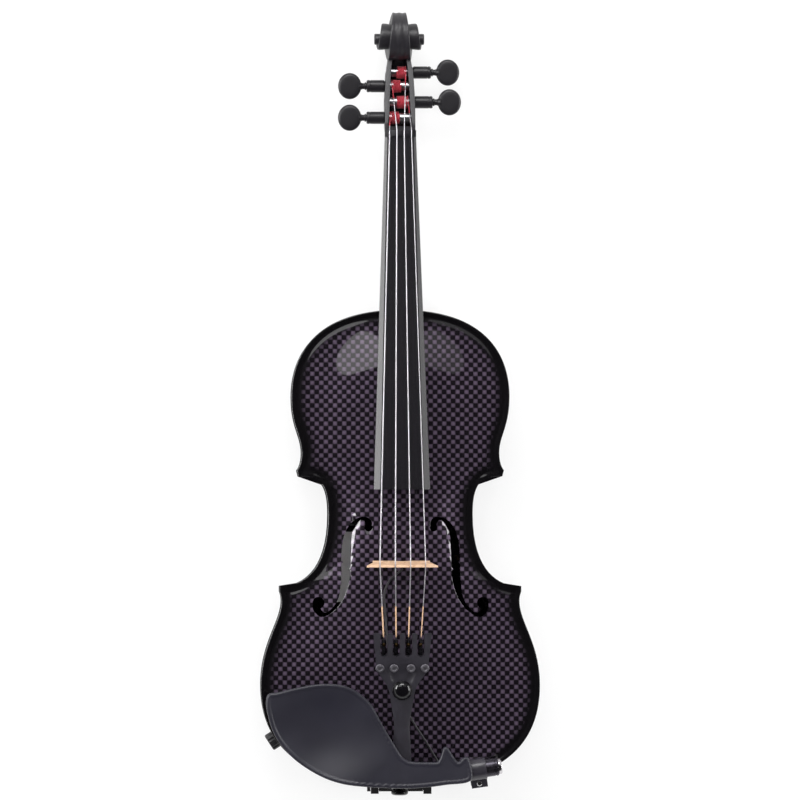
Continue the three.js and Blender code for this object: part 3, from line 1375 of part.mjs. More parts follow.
// A sheet with a top and a bottom level over a rectangle.
function sheet(low, high, columns, rows, roof, floor) {
  const positions = [];
  const index = [];
  for (const level of [roof, floor]) {
    for (let j = 0; j <= rows; j++) {
      for (let i = 0; i <= columns; i++) {
        const [x, y] = [low.x + (high.x - low.x) * i / columns, low.y + (high.y - low.y) * j / rows];
        positions.push(x, y, level(x, y));
      }
    }
  }
  const wide = columns + 1;
  const under = wide * (rows + 1);
  for (let j = 0; j < rows; j++) {
    for (let i = 0; i < columns; i++) {
      const a = j * wide + i;
      index.push(a, a + 1, a + wide + 1, a, a + wide + 1, a + wide);
      index.push(under + a, under + a + wide + 1, under + a + 1);
      index.push(under + a, under + a + wide, under + a + wide + 1);
    }
  }
  const edge = [];
  for (let i = 0; i < columns; i++) {
    edge.push(i);
  }
  for (let j = 0; j < rows; j++) {
    edge.push(j * wide + columns);
  }
  for (let i = columns; i > 0; i--) {
    edge.push(rows * wide + i);
  }
  for (let j = rows; j > 0; j--) {
    edge.push(j * wide);
  }
  edge.forEach((a, place) => {
    const b = edge[(place + 1) % edge.length];
    index.push(a, under + a, under + b, a, under + b, b);
  });
  const geometry = new THREE.BufferGeometry();
  geometry.setAttribute("position", new THREE.Float32BufferAttribute(positions, 3));
  geometry.setIndex(index);
  return toSolid(facingOut(geometry));
}
const chinrestBox = new THREE.Box2().setFromPoints(chinrestPoints).expandByScalar(overrun);
const chinrestSheet = sheet(chinrestBox.min, chinrestBox.max, 20, 11, chinrestRoof, (x, y) => {
  return chinrestRoof(x, y) - chinrestWall;
});
const footHalf = { x: 6.4, y: 5 };
const footInset = 2.4;
const footY = bodyBottom + footInset + footHalf.y;
const chinrestFeet = [-1, 1].map((side) => {
  const x = side * clampSpacing / 2;
  const top = Math.min(chinrestRoof(x, footY), chinrestBar) - chinrestWall / 2;
  const corner = at(x - footHalf.x, footY - footHalf.y, chinrestSeat);
  return block(corner, at(x + footHalf.x, footY + footHalf.y, top));
});
const chinrestShell = chinrestSheet.intersect(slab(chinrestPoints, 0, 2 * chinrestRim));
const chinrestSolid = join(chinrestShell, ...chinrestFeet);

// Clamp: a post screwed into each chinrest foot, a barrel nut on each, and a foot under the back
const clampStand = 4;
const postRod = 1.6;
const postGrip = 6;
const postSides = 12;
const barrelRadius = 2.3;
const barrelRise = 6;
const barrelLength = 23;
const barrelChamfer = 1;
const barrelEndShare = 0.85;
const barrelSides = 10;
const keyHoleRadius = 0.8;
const keyHoleSides = 6;
const keyHoleShares = [0.36, 0.64];
const tabHalf = { x: 3, y: 2.4 };
const tabThickness = 2.2;
const tabReach = 9;
const tabSlack = 0.6;
const corkSink = 1.5;
const corkGlue = 0.1;
const clampFootDrop = 5.4;
const clampFootThickness = 2.2;
const clampFootDepth = 12;
const clampFootHalf = 4;
const clampPadInset = 1;
const clampY = bodyBottom - clampStand;
const barrelLow = backSeat + barrelRise;
const barrelHigh = barrelLow + barrelLength;
const clampFootLevel = backSeat - edgeThickness - clampFootDrop;
const clampPostTop = chinrestSeat + postGrip;
const postCutters = [-1, 1].map((side) => {
  const x = side * clampSpacing / 2;
  return join(
    rod(at(x, clampY, barrelHigh), at(x, clampY, clampPostTop + gap), postRod + gap),
    block(
      at(x - tabHalf.x - gap, clampY - tabHalf.y - tabSlack, clampPostTop - tabThickness - gap),
      at(x + tabHalf.x + gap, bodyBottom + tabReach + gap, clampPostTop + gap),
    ),
  );
});
addPiece("chinrest", cut(chinrestSolid, ...postCutters), "chinrestBlack");
for (const [side, name] of [[-1, "bass"], [1, "treble"]]) {
  const x = side * clampSpacing / 2;
  const post = join(
    rod(at(x, clampY, barrelHigh - postGrip), at(x, clampY, clampPostTop), postRod, postRod, postSides),
    block(
      at(x - tabHalf.x, clampY - tabHalf.y, clampPostTop - tabThickness),
      at(x + tabHalf.x, bodyBottom + tabReach, clampPostTop),
    ),
  );
  addPiece(`clamp_post_${name}`, post, "steel");
  const corkBlock = block(
    at(x - footHalf.x, footY - footHalf.y, topEdge - corkSink),
    at(x + footHalf.x, footY + footHalf.y, chinrestSeat - corkGlue),
  );
  addPiece(`chinrest_cork_${name}`, cut(corkBlock, raisedTop), "cork");
  const barrel = [
    [postRod + runningGap, barrelLow], [barrelRadius * barrelEndShare, barrelLow],
    [barrelRadius, barrelLow + barrelChamfer], [barrelRadius, barrelHigh - barrelChamfer],
    [barrelRadius * barrelEndShare, barrelHigh], [postRod + runningGap, barrelHigh],
  ];
  const keyHoles = keyHoleShares.map((share) => {
    const z = THREE.MathUtils.lerp(barrelLow, barrelHigh, share);
    const [front, back] = [at(x, clampY - overrun, z), at(x, clampY + overrun, z)];
    return rod(front, back, keyHoleRadius, keyHoleRadius, keyHoleSides);
  });
  const openBarrel = turned([...barrel, barrel[0]], at(x, clampY, 0), at(0, 0, 1), barrelSides);
  addPiece(`clamp_barrel_${name}`, cut(openBarrel, ...keyHoles), "chrome");
}
const loweredBack = archedBack.translate([0, 0, -gap]);
const footPlate = block(
  at(-clampSpacing / 2 - clampFootHalf, clampY - tabHalf.y, clampFootLevel),
  at(clampSpacing / 2 + clampFootHalf, bodyBottom + clampFootDepth, clampFootLevel + clampFootThickness),
);
const footPads = [-1, 1].map((side) => {
  const x = side * clampSpacing / 2;
  return block(
    at(x - clampFootHalf, bodyBottom + clampPadInset, clampFootLevel),
    at(x + clampFootHalf, bodyBottom + clampFootDepth, backSeat - edgeThickness + clampPadInset),
  );
});
const footPosts = [-1, 1].map((side) => {
  const x = side * clampSpacing / 2;
  return rod(at(x, clampY, clampFootLevel), at(x, clampY, barrelLow + postGrip), postRod, postRod, postSides);
});
addPiece("clamp_foot", cut(join(footPlate, ...footPads, ...footPosts), loweredBack), "steel");

// Output jack: a barrel on the treble side of the tail end, held by a band and a post to the back. Its
// place holds shares of half the lower bout and of the body length.
const jackPlaceShares = [0.608, 0.964];
const jackAngle = THREE.MathUtils.degToRad(8);
const jackRadius = 6.8;
const jackBore = 3.5;
const jackInnerEnd = -22;
const jackOuterEnd = 9;
const jackEndWall = 4;
const jackChamfer = 0.6;
const jackTailChamfer = 1.6;
const jackNutLength = 2.6;
const jackNutRadius = 5.9;
const jackNutGap = 0.1;
const jackSpan = 3;
const jackLift = 0.4;
const jackSides = 20;
const bandWidth = 12.2;
const bandWall = 1;
const bandOffset = -6.2;
const bandSteps = 14;
const flangeReach = 6;
const jackMiddle = at(halfBout.lower * jackPlaceShares[0], bodyTop - bodyLength * jackPlaceShares[1], 0);
const jackAlong = at(Math.cos(jackAngle), Math.sin(jackAngle), 0);
const jackAcross = at(Math.sin(jackAngle), -Math.cos(jackAngle), 0);

// A place by the barrel: a distance along its axis, across it towards the tail, and a level.
function byJack(distance, across, level) {
  const place = jackMiddle.clone().setZ(level);
  return place.addScaledVector(jackAlong, distance).addScaledVector(jackAcross, across);
}
let jackFloor = 0;
for (const distance of [jackInnerEnd, 0, jackOuterEnd]) {
  for (const across of [-jackSpan, 0, jackSpan]) {
    const spot = byJack(distance, across, 0);
    jackFloor = Math.max(jackFloor, ...levelsAt(topPlate, spot.x, spot.y, true));
  }
}
const jackLevel = jackFloor + jackLift + bandWall + jackRadius;
const jackProfile = [
  [0, jackInnerEnd + jackEndWall], [jackBore, jackInnerEnd + jackEndWall], [jackBore, jackOuterEnd],
  [jackRadius - jackChamfer, jackOuterEnd], [jackRadius, jackOuterEnd - jackChamfer],
  [jackRadius, jackInnerEnd + jackTailChamfer], [jackRadius - jackTailChamfer, jackInnerEnd],
  [0, jackInnerEnd],
];
const jackOrigin = byJack(0, 0, jackLevel);
addPiece("jack_barrel", turned(jackProfile, jackOrigin, jackAlong, jackSides), "blackMetal");
const jackNutStart = jackOuterEnd + jackNutGap;
const jackNutEnd = jackNutStart + jackNutLength;
const jackNutProfile = [
  [jackBore, jackNutStart], [jackNutRadius, jackNutStart], [jackNutRadius, jackNutEnd - jackChamfer],
  [jackNutRadius - jackChamfer, jackNutEnd], [jackBore, jackNutEnd], [jackBore, jackNutStart],
];
addPiece("jack_nut", turned(jackNutProfile, jackOrigin, jackAlong, jackSides), "chrome");

// The band's profile, across the barrel and up: three quarters round the barrel, then out as a flange
const bandInner = jackRadius + gap;
const bandOuter = bandInner + bandWall;
const bandArc = (radius, i) => {
  const angle = 3 / 2 * Math.PI * (1 - i / bandSteps);
  return new THREE.Vector2(radius * Math.cos(angle), radius * Math.sin(angle));
};
const bandProfile = [];
for (let i = 0; i <= bandSteps; i++) {
  bandProfile.push(bandArc(bandOuter, i));
}
bandProfile.push(new THREE.Vector2(bandOuter, bandWall - bandInner));
bandProfile.push(new THREE.Vector2(bandOuter + flangeReach, bandWall - bandInner));
bandProfile.push(new THREE.Vector2(bandOuter + flangeReach, -bandInner));
bandProfile.push(new THREE.Vector2(bandInner, -bandInner));
for (let i = bandSteps; i >= 0; i--) {
  bandProfile.push(bandArc(bandInner, i));
}
const bandShape = new THREE.Shape(bandProfile);
const bandGeometry = new THREE.ExtrudeGeometry(bandShape, { depth: bandWidth, bevelEnabled: false });
const bandFrame = new THREE.Matrix4().makeBasis(jackAcross, at(0, 0, 1), jackAlong.clone().negate());
const bandCorner = byJack(bandOffset + bandWidth / 2, 0, jackLevel);
bandGeometry.applyMatrix4(bandFrame).translate(bandCorner.x, bandCorner.y, bandCorner.z);
const flangeHoleAcross = bandOuter + flangeReach / 2;
const flangeHole = rod(
  byJack(bandOffset, flangeHoleAcross, jackLevel - 2 * jackRadius),
  byJack(bandOffset, flangeHoleAcross, jackLevel + jackRadius),
  postRod + gap,
);
const bandSolid = toSolid(facingOut(mergeVertices(stripped(bandGeometry))));
addPiece("jack_band", cut(bandSolid, flangeHole), "blackMetal");

// Jack foot: a plate under the back with a post up to the band's flange
const jackFootHalf = 4.5;
const jackFootStart = 1;
const jackFootMargin = 2.6;
const jackPadReach = 6;
const jackPostTop = 0.6;
const jackFootOutline = (end) => [
  byJack(bandOffset - jackFootHalf, jackFootStart, 0), byJack(bandOffset + jackFootHalf, jackFootStart, 0),
  byJack(bandOffset + jackFootHalf, end, 0), byJack(bandOffset - jackFootHalf, end, 0),
].map((point) => new THREE.Vector2(point.x, point.y));
const jackFootPost = rod(
  byJack(bandOffset, flangeHoleAcross, clampFootLevel),
  byJack(bandOffset, flangeHoleAcross, jackLevel - bandInner + bandWall + jackPostTop),
  postRod,
  postRod,
  postSides,
);
const jackFoot = join(
  slab(jackFootOutline(flangeHoleAcross + jackFootMargin), clampFootLevel, clampFootThickness),
  slab(jackFootOutline(jackPadReach), clampFootLevel, clampFootDrop + clampPadInset),
  jackFootPost,
);
addPiece("jack_foot", cut(jackFoot, loweredBack), "steel");

// Volume control: the knob outside the rib and the potentiometer behind it
const knobPoints = [];
for (let i = 0; i < 2 * knobFlutes; i++) {
  const angle = Math.PI * i / knobFlutes;
  const radius = i % 2 ? knobRadius - fluteDepth : knobRadius;
  knobPoints.push(new THREE.Vector2(radius * Math.cos(angle), radius * Math.sin(angle)));
}
const knobShape = new THREE.Shape(knobPoints);
const knobBody = new THREE.ExtrudeGeometry(knobShape, { depth: knobLength, bevelEnabled: false });
knobBody.applyQuaternion(new THREE.Quaternion().setFromUnitVectors(at(0, 0, 1), knobDirection));
const knobFoot = along(knobAxisPoint, knobDirection, knobStand);
knobBody.translate(knobFoot.x, knobFoot.y, knobFoot.z);
const socketEnd = knobStand + knobLength * socketShare;
const knobSocket = rod(
  along(knobAxisPoint, knobDirection, knobStand - overrun),
  along(knobAxisPoint, knobDirection, socketEnd),
  shaftRadius + runningGap,
);
addPiece("volume_knob", cut(toSolid(knobBody), knobSocket), "pegBlack");
const potFace = -ribWall - gap - potFlange;
const potProfile = [
  [0, potFace - potDepth], [potRadius, potFace - potDepth], [potRadius, potFace], [bushRadius, potFace],
  [bushRadius, knobStand - gap], [shaftRadius, knobStand - gap], [shaftRadius, socketEnd - gap],
  [0, socketEnd - gap],
];
addPiece("potentiometer", turned(potProfile, knobAxisPoint, knobDirection), "steel");

// Pickup lead: from the pickup in the bridge, over the top plate and under the tailpiece to the jack.
// Its first places are across, behind the bridge and below the pickup, and its last are before the jack.
// Between them it lies on the plate, at shares of the way across and along to the jack's inner end.
const leadRadius = 0.8;
const leadLift = 1.2;
const leadSteps = 44;
const leadSides = 6;
const pickupHalf = 2.2;
const pickupDepth = 1.6;
const pickupLevelShare = 0.42;
const leadDrop = [[0.4, 1, 0], [-1.2, 2.85, 1.15], [-4.2, 5.45, 6.15]];
const leadEnd = [3.4, 1.8, 0.3];
const leadShares = [
  [-0.196, 0.06], [-0.263, 0.092], [-0.311, 0.134], [-0.309, 0.177], [-0.294, 0.239], [-0.285, 0.304],
  [-0.263, 0.382], [-0.203, 0.48], [-0.072, 0.591], [0.096, 0.695], [0.287, 0.787], [0.478, 0.865],
  [0.622, 0.931], [0.741, 0.983],
];
const pickupLevel = bridgeFoot + bridgeHeight * pickupLevelShare;
const jackTail = along(jackOrigin, jackAlong, jackInnerEnd);
const leadPoints = [
  ...leadDrop.map(([across, behind, below]) => at(across, tailFace - behind, pickupLevel - below)),
  ...leadShares.map(([across, down]) => {
    const [x, y] = [jackTail.x * across, THREE.MathUtils.lerp(tailFace, jackTail.y, down)];
    return at(x, y, levelsAt(topPlate, x, y, true)[0] + leadLift);
  }),
  ...leadEnd.map((distance) => along(jackTail, jackAlong, -distance)),
];
const smoothLead = new THREE.CatmullRomCurve3(leadPoints, false, "centripetal").getPoints(leadSteps);
const pickup = block(
  at(-pickupHalf, tailFace - gap - pickupDepth, pickupLevel - pickupDepth),
  at(pickupHalf, tailFace - gap, pickupLevel + pickupDepth),
);
addPiece("pickup_lead", join(toSolid(tube(smoothLead, leadRadius, leadSides)), pickup), "leadJacket");

export default violin;
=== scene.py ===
"""An acoustic-electric violin with a carbon-composite body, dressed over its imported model.

The violin lies on its back: +Z comes out of the top plate, +Y points to the scroll and +X to the treble side.
Meshes are drawn in millimetres and turned to metres when they become a piece.
"""
import math

import bmesh
import bpy
from mathutils import Euler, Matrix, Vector
from mathutils.geometry import interpolate_bezier, intersect_line_line_2d
from mathutils.kdtree import KDTree


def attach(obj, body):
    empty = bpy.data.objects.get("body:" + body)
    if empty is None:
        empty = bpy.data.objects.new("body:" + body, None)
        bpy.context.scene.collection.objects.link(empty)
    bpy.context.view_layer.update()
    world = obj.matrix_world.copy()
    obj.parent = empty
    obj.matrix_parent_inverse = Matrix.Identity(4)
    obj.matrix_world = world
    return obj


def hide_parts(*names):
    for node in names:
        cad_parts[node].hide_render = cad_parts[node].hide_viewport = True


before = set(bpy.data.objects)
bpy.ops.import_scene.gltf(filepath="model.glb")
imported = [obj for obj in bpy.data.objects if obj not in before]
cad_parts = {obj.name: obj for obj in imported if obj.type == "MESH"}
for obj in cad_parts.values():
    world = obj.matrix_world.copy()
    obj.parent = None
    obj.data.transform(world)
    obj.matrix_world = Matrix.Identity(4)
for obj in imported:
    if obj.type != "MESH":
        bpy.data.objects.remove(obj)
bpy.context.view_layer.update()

MM = 0.001


# Camera: it stands five metres over the front and looks almost straight down, leaning a little from
# the tail and from the bass side, so that the raised pieces move slightly to the right.
camera_lean = Euler((math.radians(1.2), math.radians(-2.3), 0))
camera_distance = 5.0
frame_width = 0.6
sensor_width = 36.0
far_limit = 60.0
aim = Vector((-0.0004, 0.0019, 0.047))

camera = bpy.data.objects.new("camera", bpy.data.cameras.new("camera"))
camera.data.sensor_width = sensor_width
camera.data.lens = sensor_width * camera_distance / frame_width
camera.data.clip_end = far_limit
camera.rotation_euler = camera_lean
camera.location = aim - camera_lean.to_matrix() @ Vector((0, 0, -1)) * camera_distance
bpy.context.scene.collection.objects.link(camera)
bpy.context.scene.camera = camera
bpy.context.scene.view_settings.view_transform = "Standard"


# Floor: a seamless white paper sweep. The eye, polished faces and clear ones all see it white,
# and a fifth of what shows is the lit paper itself, which keeps the violin's shadow.
floor_half_width = 30.0
floor_gap = 0.0002
paper_white = "#f4f4f4"
shadow_share = 0.2


def linear(hex_colour):
    """An sRGB hex colour as the linear colour that a shader takes."""
    parts = [int(hex_colour[i:i + 2], 16) / 255 for i in (1, 3, 5)]
    return tuple(p / 12.92 if p <= 0.04045 else ((p + 0.055) / 1.055) ** 2.4 for p in parts) + (1.0,)


def add_node(tree, kind, inputs=None, **settings):
    """Adds a node with its settings. An input is a value, a socket, or a node whose first output is meant."""
    node = tree.nodes.new("ShaderNode" + kind)
    for setting, value in settings.items():
        setattr(node, setting, value)
    for socket, value in (inputs or {}).items():
        if isinstance(value, bpy.types.Node):
            value = value.outputs[0]
        if isinstance(value, bpy.types.NodeSocket):
            tree.links.new(value, node.inputs[socket])
        else:
            node.inputs[socket].default_value = value
    return node


floor_bm = bmesh.new()
bmesh.ops.create_grid(floor_bm, x_segments=1, y_segments=1, size=floor_half_width)
floor_mesh = bpy.data.meshes.new("paper_floor")
floor_bm.to_mesh(floor_mesh)
floor_bm.free()
floor = bpy.data.objects.new("paper_floor", floor_mesh)
floor.location.z = -floor_gap
bpy.context.scene.collection.objects.link(floor)

paper_sweep = bpy.data.materials.new("white_paper_sweep")
paper_sweep.use_nodes = True
tree = paper_sweep.node_tree
tree.nodes.clear()
path = add_node(tree, "LightPath")
seen = add_node(tree, "Math", {0: path.outputs["Is Camera Ray"], 1: path.outputs["Is Glossy Ray"]},
                operation="MAXIMUM")
seen = add_node(tree, "Math", {0: seen, 1: path.outputs["Is Transmission Ray"]}, operation="MAXIMUM")
seen = add_node(tree, "Math", {0: seen, 1: 1 - shadow_share}, operation="MULTIPLY")
lit = add_node(tree, "BsdfDiffuse", {"Color": linear(paper_white)})
glow = add_node(tree, "Emission", {"Color": (1, 1, 1, 1), "Strength": 1.0})
mixed = add_node(tree, "MixShader", {0: seen, 1: lit, 2: glow})
add_node(tree, "OutputMaterial", {"Surface": mixed})
floor.data.materials.append(paper_sweep)


# Room: white walls near the horizon that grow dark overhead, so the black lacquer stays black from above
# and its rounded edges catch a bright line.
wall_white = 1.0
ceiling_grey = 0.02
ceiling_start = 0.1
ceiling_full = 0.5

room = bpy.data.worlds.new("studio_room")
room.use_nodes = True
bpy.context.scene.world = room
tree = room.node_tree
tree.nodes.clear()
heading = add_node(tree, "TexCoord")
height = add_node(tree, "SeparateXYZ", {0: heading.outputs["Generated"]})
fall = add_node(tree, "MapRange", {
    "Value": height.outputs["Z"], "From Min": ceiling_start, "From Max": ceiling_full,
    "To Min": wall_white, "To Max": ceiling_grey,
}, interpolation_type="SMOOTHSTEP")
path = add_node(tree, "LightPath")
walls = add_node(tree, "Mix", {0: path.outputs["Is Camera Ray"], 2: fall, 3: 1.0}, data_type="FLOAT")
backdrop = add_node(tree, "Background", {"Color": (1, 1, 1, 1), "Strength": walls})
add_node(tree, "OutputWorld", {"Surface": backdrop})


# Lights: a soft box beyond the scroll that the upper bout mirrors, a strong and a weak one that lay a sheen
# on the carbon either side of the fingerboard, low ones on the bass and treble sides for the bright flanks
# of the board and the rims, and a fill overhead that no polished face mirrors.
def soft_box(name, place, aim_at, width, length, watts, mirrored=True):
    """A rectangular light that faces a point of the violin."""
    lamp = bpy.data.lights.new(name, "AREA")
    lamp.shape = "RECTANGLE"
    lamp.size, lamp.size_y = width, length
    lamp.energy = watts
    box = bpy.data.objects.new(name, lamp)
    box.location = place
    box.rotation_euler = (Vector(aim_at) - Vector(place)).to_track_quat("-Z", "Y").to_euler()
    box.visible_glossy = mirrored
    bpy.context.scene.collection.objects.link(box)


soft_box("head_box", (0, 1.9, 1.7), (0, 0, 0), 1.5, 0.9, 32)
soft_box("sheen_box", (-1.02, 1.55, 2.4), (-1.02, 0, 0), 1.7, 1.8, 21)
soft_box("sheen_box_right", (1.1, 1.6, 2.4), (1.1, 0, 0), 1.5, 1.8, 5)
soft_box("bass_box", (-2.5, 0.9, 1.5), (0, 0.9, 0), 2.0, 0.7, 72)
soft_box("treble_box", (2.6, 0.25, 1.1), (0, 0.25, 0), 1.9, 0.6, 38)
soft_box("overhead_fill", (0.2, -0.3, 2.6), (0, 0, 0), 2.2, 2.2, 40, mirrored=False)


# Pickup lead: a thin PVC-jacketed cable from the pickup in the bridge, laid over the top plate and under
# the tailpiece to the inner end of the output jack. It is held at both ends and rests on the lacquer.
lead_radius = 0.8
lead_route = [
    (0.4, -124.5, 74.1), (-1.2, -126.3, 73), (-4.2, -128.9, 68), (-8.2, -132.6, 61.4), (-11, -137.6, 61.2),
    (-12.8, -144, 61.1), (-12.6, -150.6, 61), (-11.8, -160, 60.8), (-11.2, -170, 60.6), (-10, -182, 60.3),
    (-7.6, -197, 59.8), (-2.6, -214, 59.1), (4, -230, 58.1), (12, -244, 56.6), (20, -256, 54.5),
    (26, -266, 51.8), (31, -274, 50.7), (38.4, -277.1, 57.4), (40, -276.9, 57.4), (41.5, -276.7, 57.4),
]
lead_steps = 6


def flowing(points, steps, closed=False):
    """More points on a smooth curve through the given ones, which may hold two to four numbers each."""
    points = [Vector(p) for p in points]
    count = len(points)
    smooth = []
    for i in range(count if closed else count - 1):
        if closed:
            a, b, c, d = (points[(i + k) % count] for k in (-1, 0, 1, 2))
        else:
            a, b, c, d = (points[min(max(i + k, 0), count - 1)] for k in (-1, 0, 1, 2))
        for k in range(steps):
            t = k / steps
            bend = (c - a) * t + (2 * a - 5 * b + 4 * c - d) * t * t + (3 * b - a - 3 * c + d) * t ** 3
            smooth.append(b + bend / 2)
    return smooth if closed else smooth + [points[-1]]


def add_curve(name, route, radius, material, sides=3):
    """A round cord, wire or string along a route of points."""
    curve = bpy.data.curves.new(name, "CURVE")
    curve.dimensions = "3D"
    curve.bevel_depth = radius * MM
    curve.bevel_resolution = sides
    curve.use_fill_caps = True
    spline = curve.splines.new("POLY")
    spline.points.add(len(route) - 1)
    for point, place in zip(spline.points, route):
        point.co = (*(Vector(place) * MM), 1)
    curve.materials.append(material)
    piece = bpy.data.objects.new(name, curve)
    bpy.context.scene.collection.objects.link(piece)
    return piece


def new_material(name, **plain):
    """A node material with its shader and its object coordinates. The shader's plain values are given by
    socket name, with _ for a space. A pattern's scale is its features in a millimetre, over MM."""
    material = bpy.data.materials.new(name)
    material.use_nodes = True
    tree = material.node_tree
    shader = tree.nodes["Principled BSDF"]
    for socket, value in plain.items():
        shader.inputs[socket.replace("_", " ")].default_value = value
    return tree, shader, add_node(tree, "TexCoord").outputs["Object"], material


# Flexible PVC jacket, extruded: dull black with a faint mottle of 1.4 mm from the die
tree, shader, spot, pvc_jacket = new_material("pvc_jacket_extruded", Roughness=0.5)
mottle = add_node(tree, "TexNoise", {"Vector": spot, "Scale": 0.7 / MM, "Detail": 2.0})
tone = add_node(tree, "Mix", {0: mottle, 6: linear("#1b191d"), 7: linear("#2b282d")}, data_type="RGBA")
tree.links.new(tone.outputs[2], shader.inputs["Base Color"])

lead_line = flowing(lead_route, lead_steps)
lead = add_curve("pickup_lead_cable", lead_line, lead_radius, pvc_jacket)
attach(lead, "body")
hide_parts("pickup_lead")


# Top plate: carbon cloth laid up in a mould, two arched layers with the sound holes milled through, under
# a thick clear lacquer. The cloth ends short of the edge, and the margin is sprayed black.
body_length = 356.0
upper_bout = 163.6
waist = 108.2
lower_bout = 209.2
body_top = 69.6
rib_height = 30.0
back_seat = 15.0
top_seat = back_seat + rib_height
edge_thickness = 4.0
edge_round = 0.5
top_arch = 15.5
back_arch = 15.0
plate_wall = 2.6
spine_share = 0.5
seat_share = 0.93
dished_from, dished_to = 0.42, 0.94
inner_rings, round_rings, fine_rings, fine_step, arch_rings = 14, 5, 14, 0.009, 22
cross_arch_power = 1.4
fluting_depth, fluting_from_rim, fluting_half, fluted_share = 0.7, 4.6, 2.1, 0.7
half_bout = {"upper": upper_bout / 2, "waist": waist / 2, "lower": lower_bout / 2}
outline_shares = [
    [("upper", 0, 0), ("upper", 0.752, 0), ("upper", 1, 0.0875), ("upper", 1, 0.183)],
    [("upper", 1, 0.183), ("upper", 1, 0.247), ("upper", 0.906, 0.265), ("upper", 0.906, 0.301)],
    [("upper", 0.906, 0.301), ("upper", 0.906, 0.315), ("upper", 0.918, 0.3305), ("upper", 0.949, 0.338)],
    [("upper", 0.935, 0.3505), ("waist", 1.116, 0.348), ("waist", 1, 0.366), ("waist", 1, 0.4305)],
    [("waist", 1, 0.4305), ("waist", 1, 0.574), ("lower", 0.779, 0.584), ("lower", 0.866, 0.582)],
    [("lower", 0.866, 0.5935), ("lower", 0.857, 0.6), ("lower", 0.853, 0.606), ("lower", 0.853, 0.6135)],
    [("lower", 0.853, 0.6135), ("lower", 0.853, 0.658), ("lower", 1, 0.7025), ("lower", 1, 0.7905)],
    [("lower", 1, 0.7905), ("lower", 1, 0.9375), ("lower", 0.631, 1), ("lower", 0, 1)],
]
outline_steps = [28, 14, 8, 16, 18, 6, 22, 40]
rim_steps = 120
stretch_starts = (3, 5)


def offset_curve(shares, steps, margin):
    """One curve of the body's outline, moved inwards by a margin."""
    corners = [Vector((half_bout[bout] * across, body_top - body_length * along))
               for bout, across, along in shares]
    places = interpolate_bezier(*corners, steps + 1)
    moved = []
    for i, place in enumerate(places):
        before, after = places[max(i - 1, 0)], places[min(i + 1, steps)]
        tangent = (after - before).normalized()
        moved.append(Vector((place.x + tangent.y * margin, place.y - tangent.x * margin)))
    return moved


def body_outline(margin):
    """The closed outline of the body, moved inwards by a margin; its stretches meet where they cross."""
    right = []
    for row, (shares, steps) in enumerate(zip(outline_shares, outline_steps)):
        places = offset_curve(shares, steps, margin)
        if row in stretch_starts:
            hits = [
                (i, j, hit) for i in range(len(right) - 9, len(right)) for j in range(1, min(9, len(places)))
                if (hit := intersect_line_line_2d(right[i - 1], right[i], places[j - 1], places[j]))
            ]
            if hits:
                i, j, hit = hits[0]
                right, places = right[:i] + [hit], places[j:]
        elif right:
            places = places[1:]
        right += places
    right[0].x = right[-1].x = 0
    return right + [Vector((-p.x, p.y)) for p in reversed(right[1:-1])]


def ease(t):
    """Rises smoothly from 0 to 1, and stays there."""
    t = min(max(t, 0), 1)
    return t * t * (3 - 2 * t)


def arch_half_width(along):
    """Half the width of a smooth form without corners, which the arching follows."""
    upper, middle, lower = 0.183, 0.43, 0.79
    roundness = 2.4
    if along < upper:
        return half_bout["upper"] * (1 - (1 - along / upper) ** roundness) ** (1 / roundness)
    if along > lower:
        return half_bout["lower"] * (1 - ((along - lower) / (1 - lower)) ** roundness) ** (1 / roundness)
    if along < middle:
        narrowing = ease((along - upper) / (middle - upper))
        return half_bout["upper"] + (half_bout["waist"] - half_bout["upper"]) * narrowing
    widening = ease((along - middle) / (lower - middle))
    return half_bout["waist"] + (half_bout["lower"] - half_bout["waist"]) * widening


rim_places = [p for shares in outline_shares for p in offset_curve(shares, rim_steps, 0)]
rim_tree = KDTree(2 * len(rim_places))
for i, p in enumerate(rim_places):
    rim_tree.insert((p.x, p.y, 0), 2 * i)
    rim_tree.insert((-p.x, p.y, 0), 2 * i + 1)
rim_tree.balance()


def from_rim(x, y):
    """Distance of a place from the body's outline."""
    return rim_tree.find((x, y, 0))[2]


def arch_height(share, x, y, arch):
    """Height of a plate's outer face over its seat; share is 1 at the rim and 0 on the spine."""
    along = min(max((body_top - y) / body_length, 0.001), 0.999)
    across = min(1, abs(x) / arch_half_width(along))
    raised = 1 - ease((share - dished_from) / (dished_to - dished_from)) ** 2
    crosswise = (1 + math.cos(math.pi * across ** cross_arch_power)) / 2
    lengthwise = math.sqrt(math.sin(math.pi * along))
    height = edge_thickness + (arch - edge_thickness) * lengthwise * crosswise * raised
    if share < fluted_share:
        return height
    return height - fluting_depth * math.exp(-((from_rim(x, y) - fluting_from_rim) / fluting_half) ** 2)


def skin(rings, capped=True):
    """A form through closed loops of equally many points, capped at the first and the last."""
    bm = bmesh.new()
    loops = [[bm.verts.new(p) for p in ring] for ring in rings]
    for first, second in zip(loops, loops[1:]):
        for i in range(len(first)):
            bm.faces.new((first[i - 1], first[i], second[i], second[i - 1]))
    if capped:
        bm.faces.new(loops[0])
        bm.faces.new(loops[-1])
    return bm


def slab(corners, along):
    """A flat face through the corners, drawn out into a solid."""
    bm = bmesh.new()
    face = bm.faces.new([bm.verts.new(corner) for corner in corners])
    drawn = bmesh.ops.extrude_face_region(bm, geom=[face])["geom"]
    bmesh.ops.translate(bm, vec=along, verts=[v for v in drawn if isinstance(v, bmesh.types.BMVert)])
    return bm


def sharp_edges(bm, angle):
    """The edges at which two faces meet at more than an angle in degrees."""
    return [e for e in bm.edges if len(e.link_faces) == 2 and e.calc_face_angle(0) > math.radians(angle)]


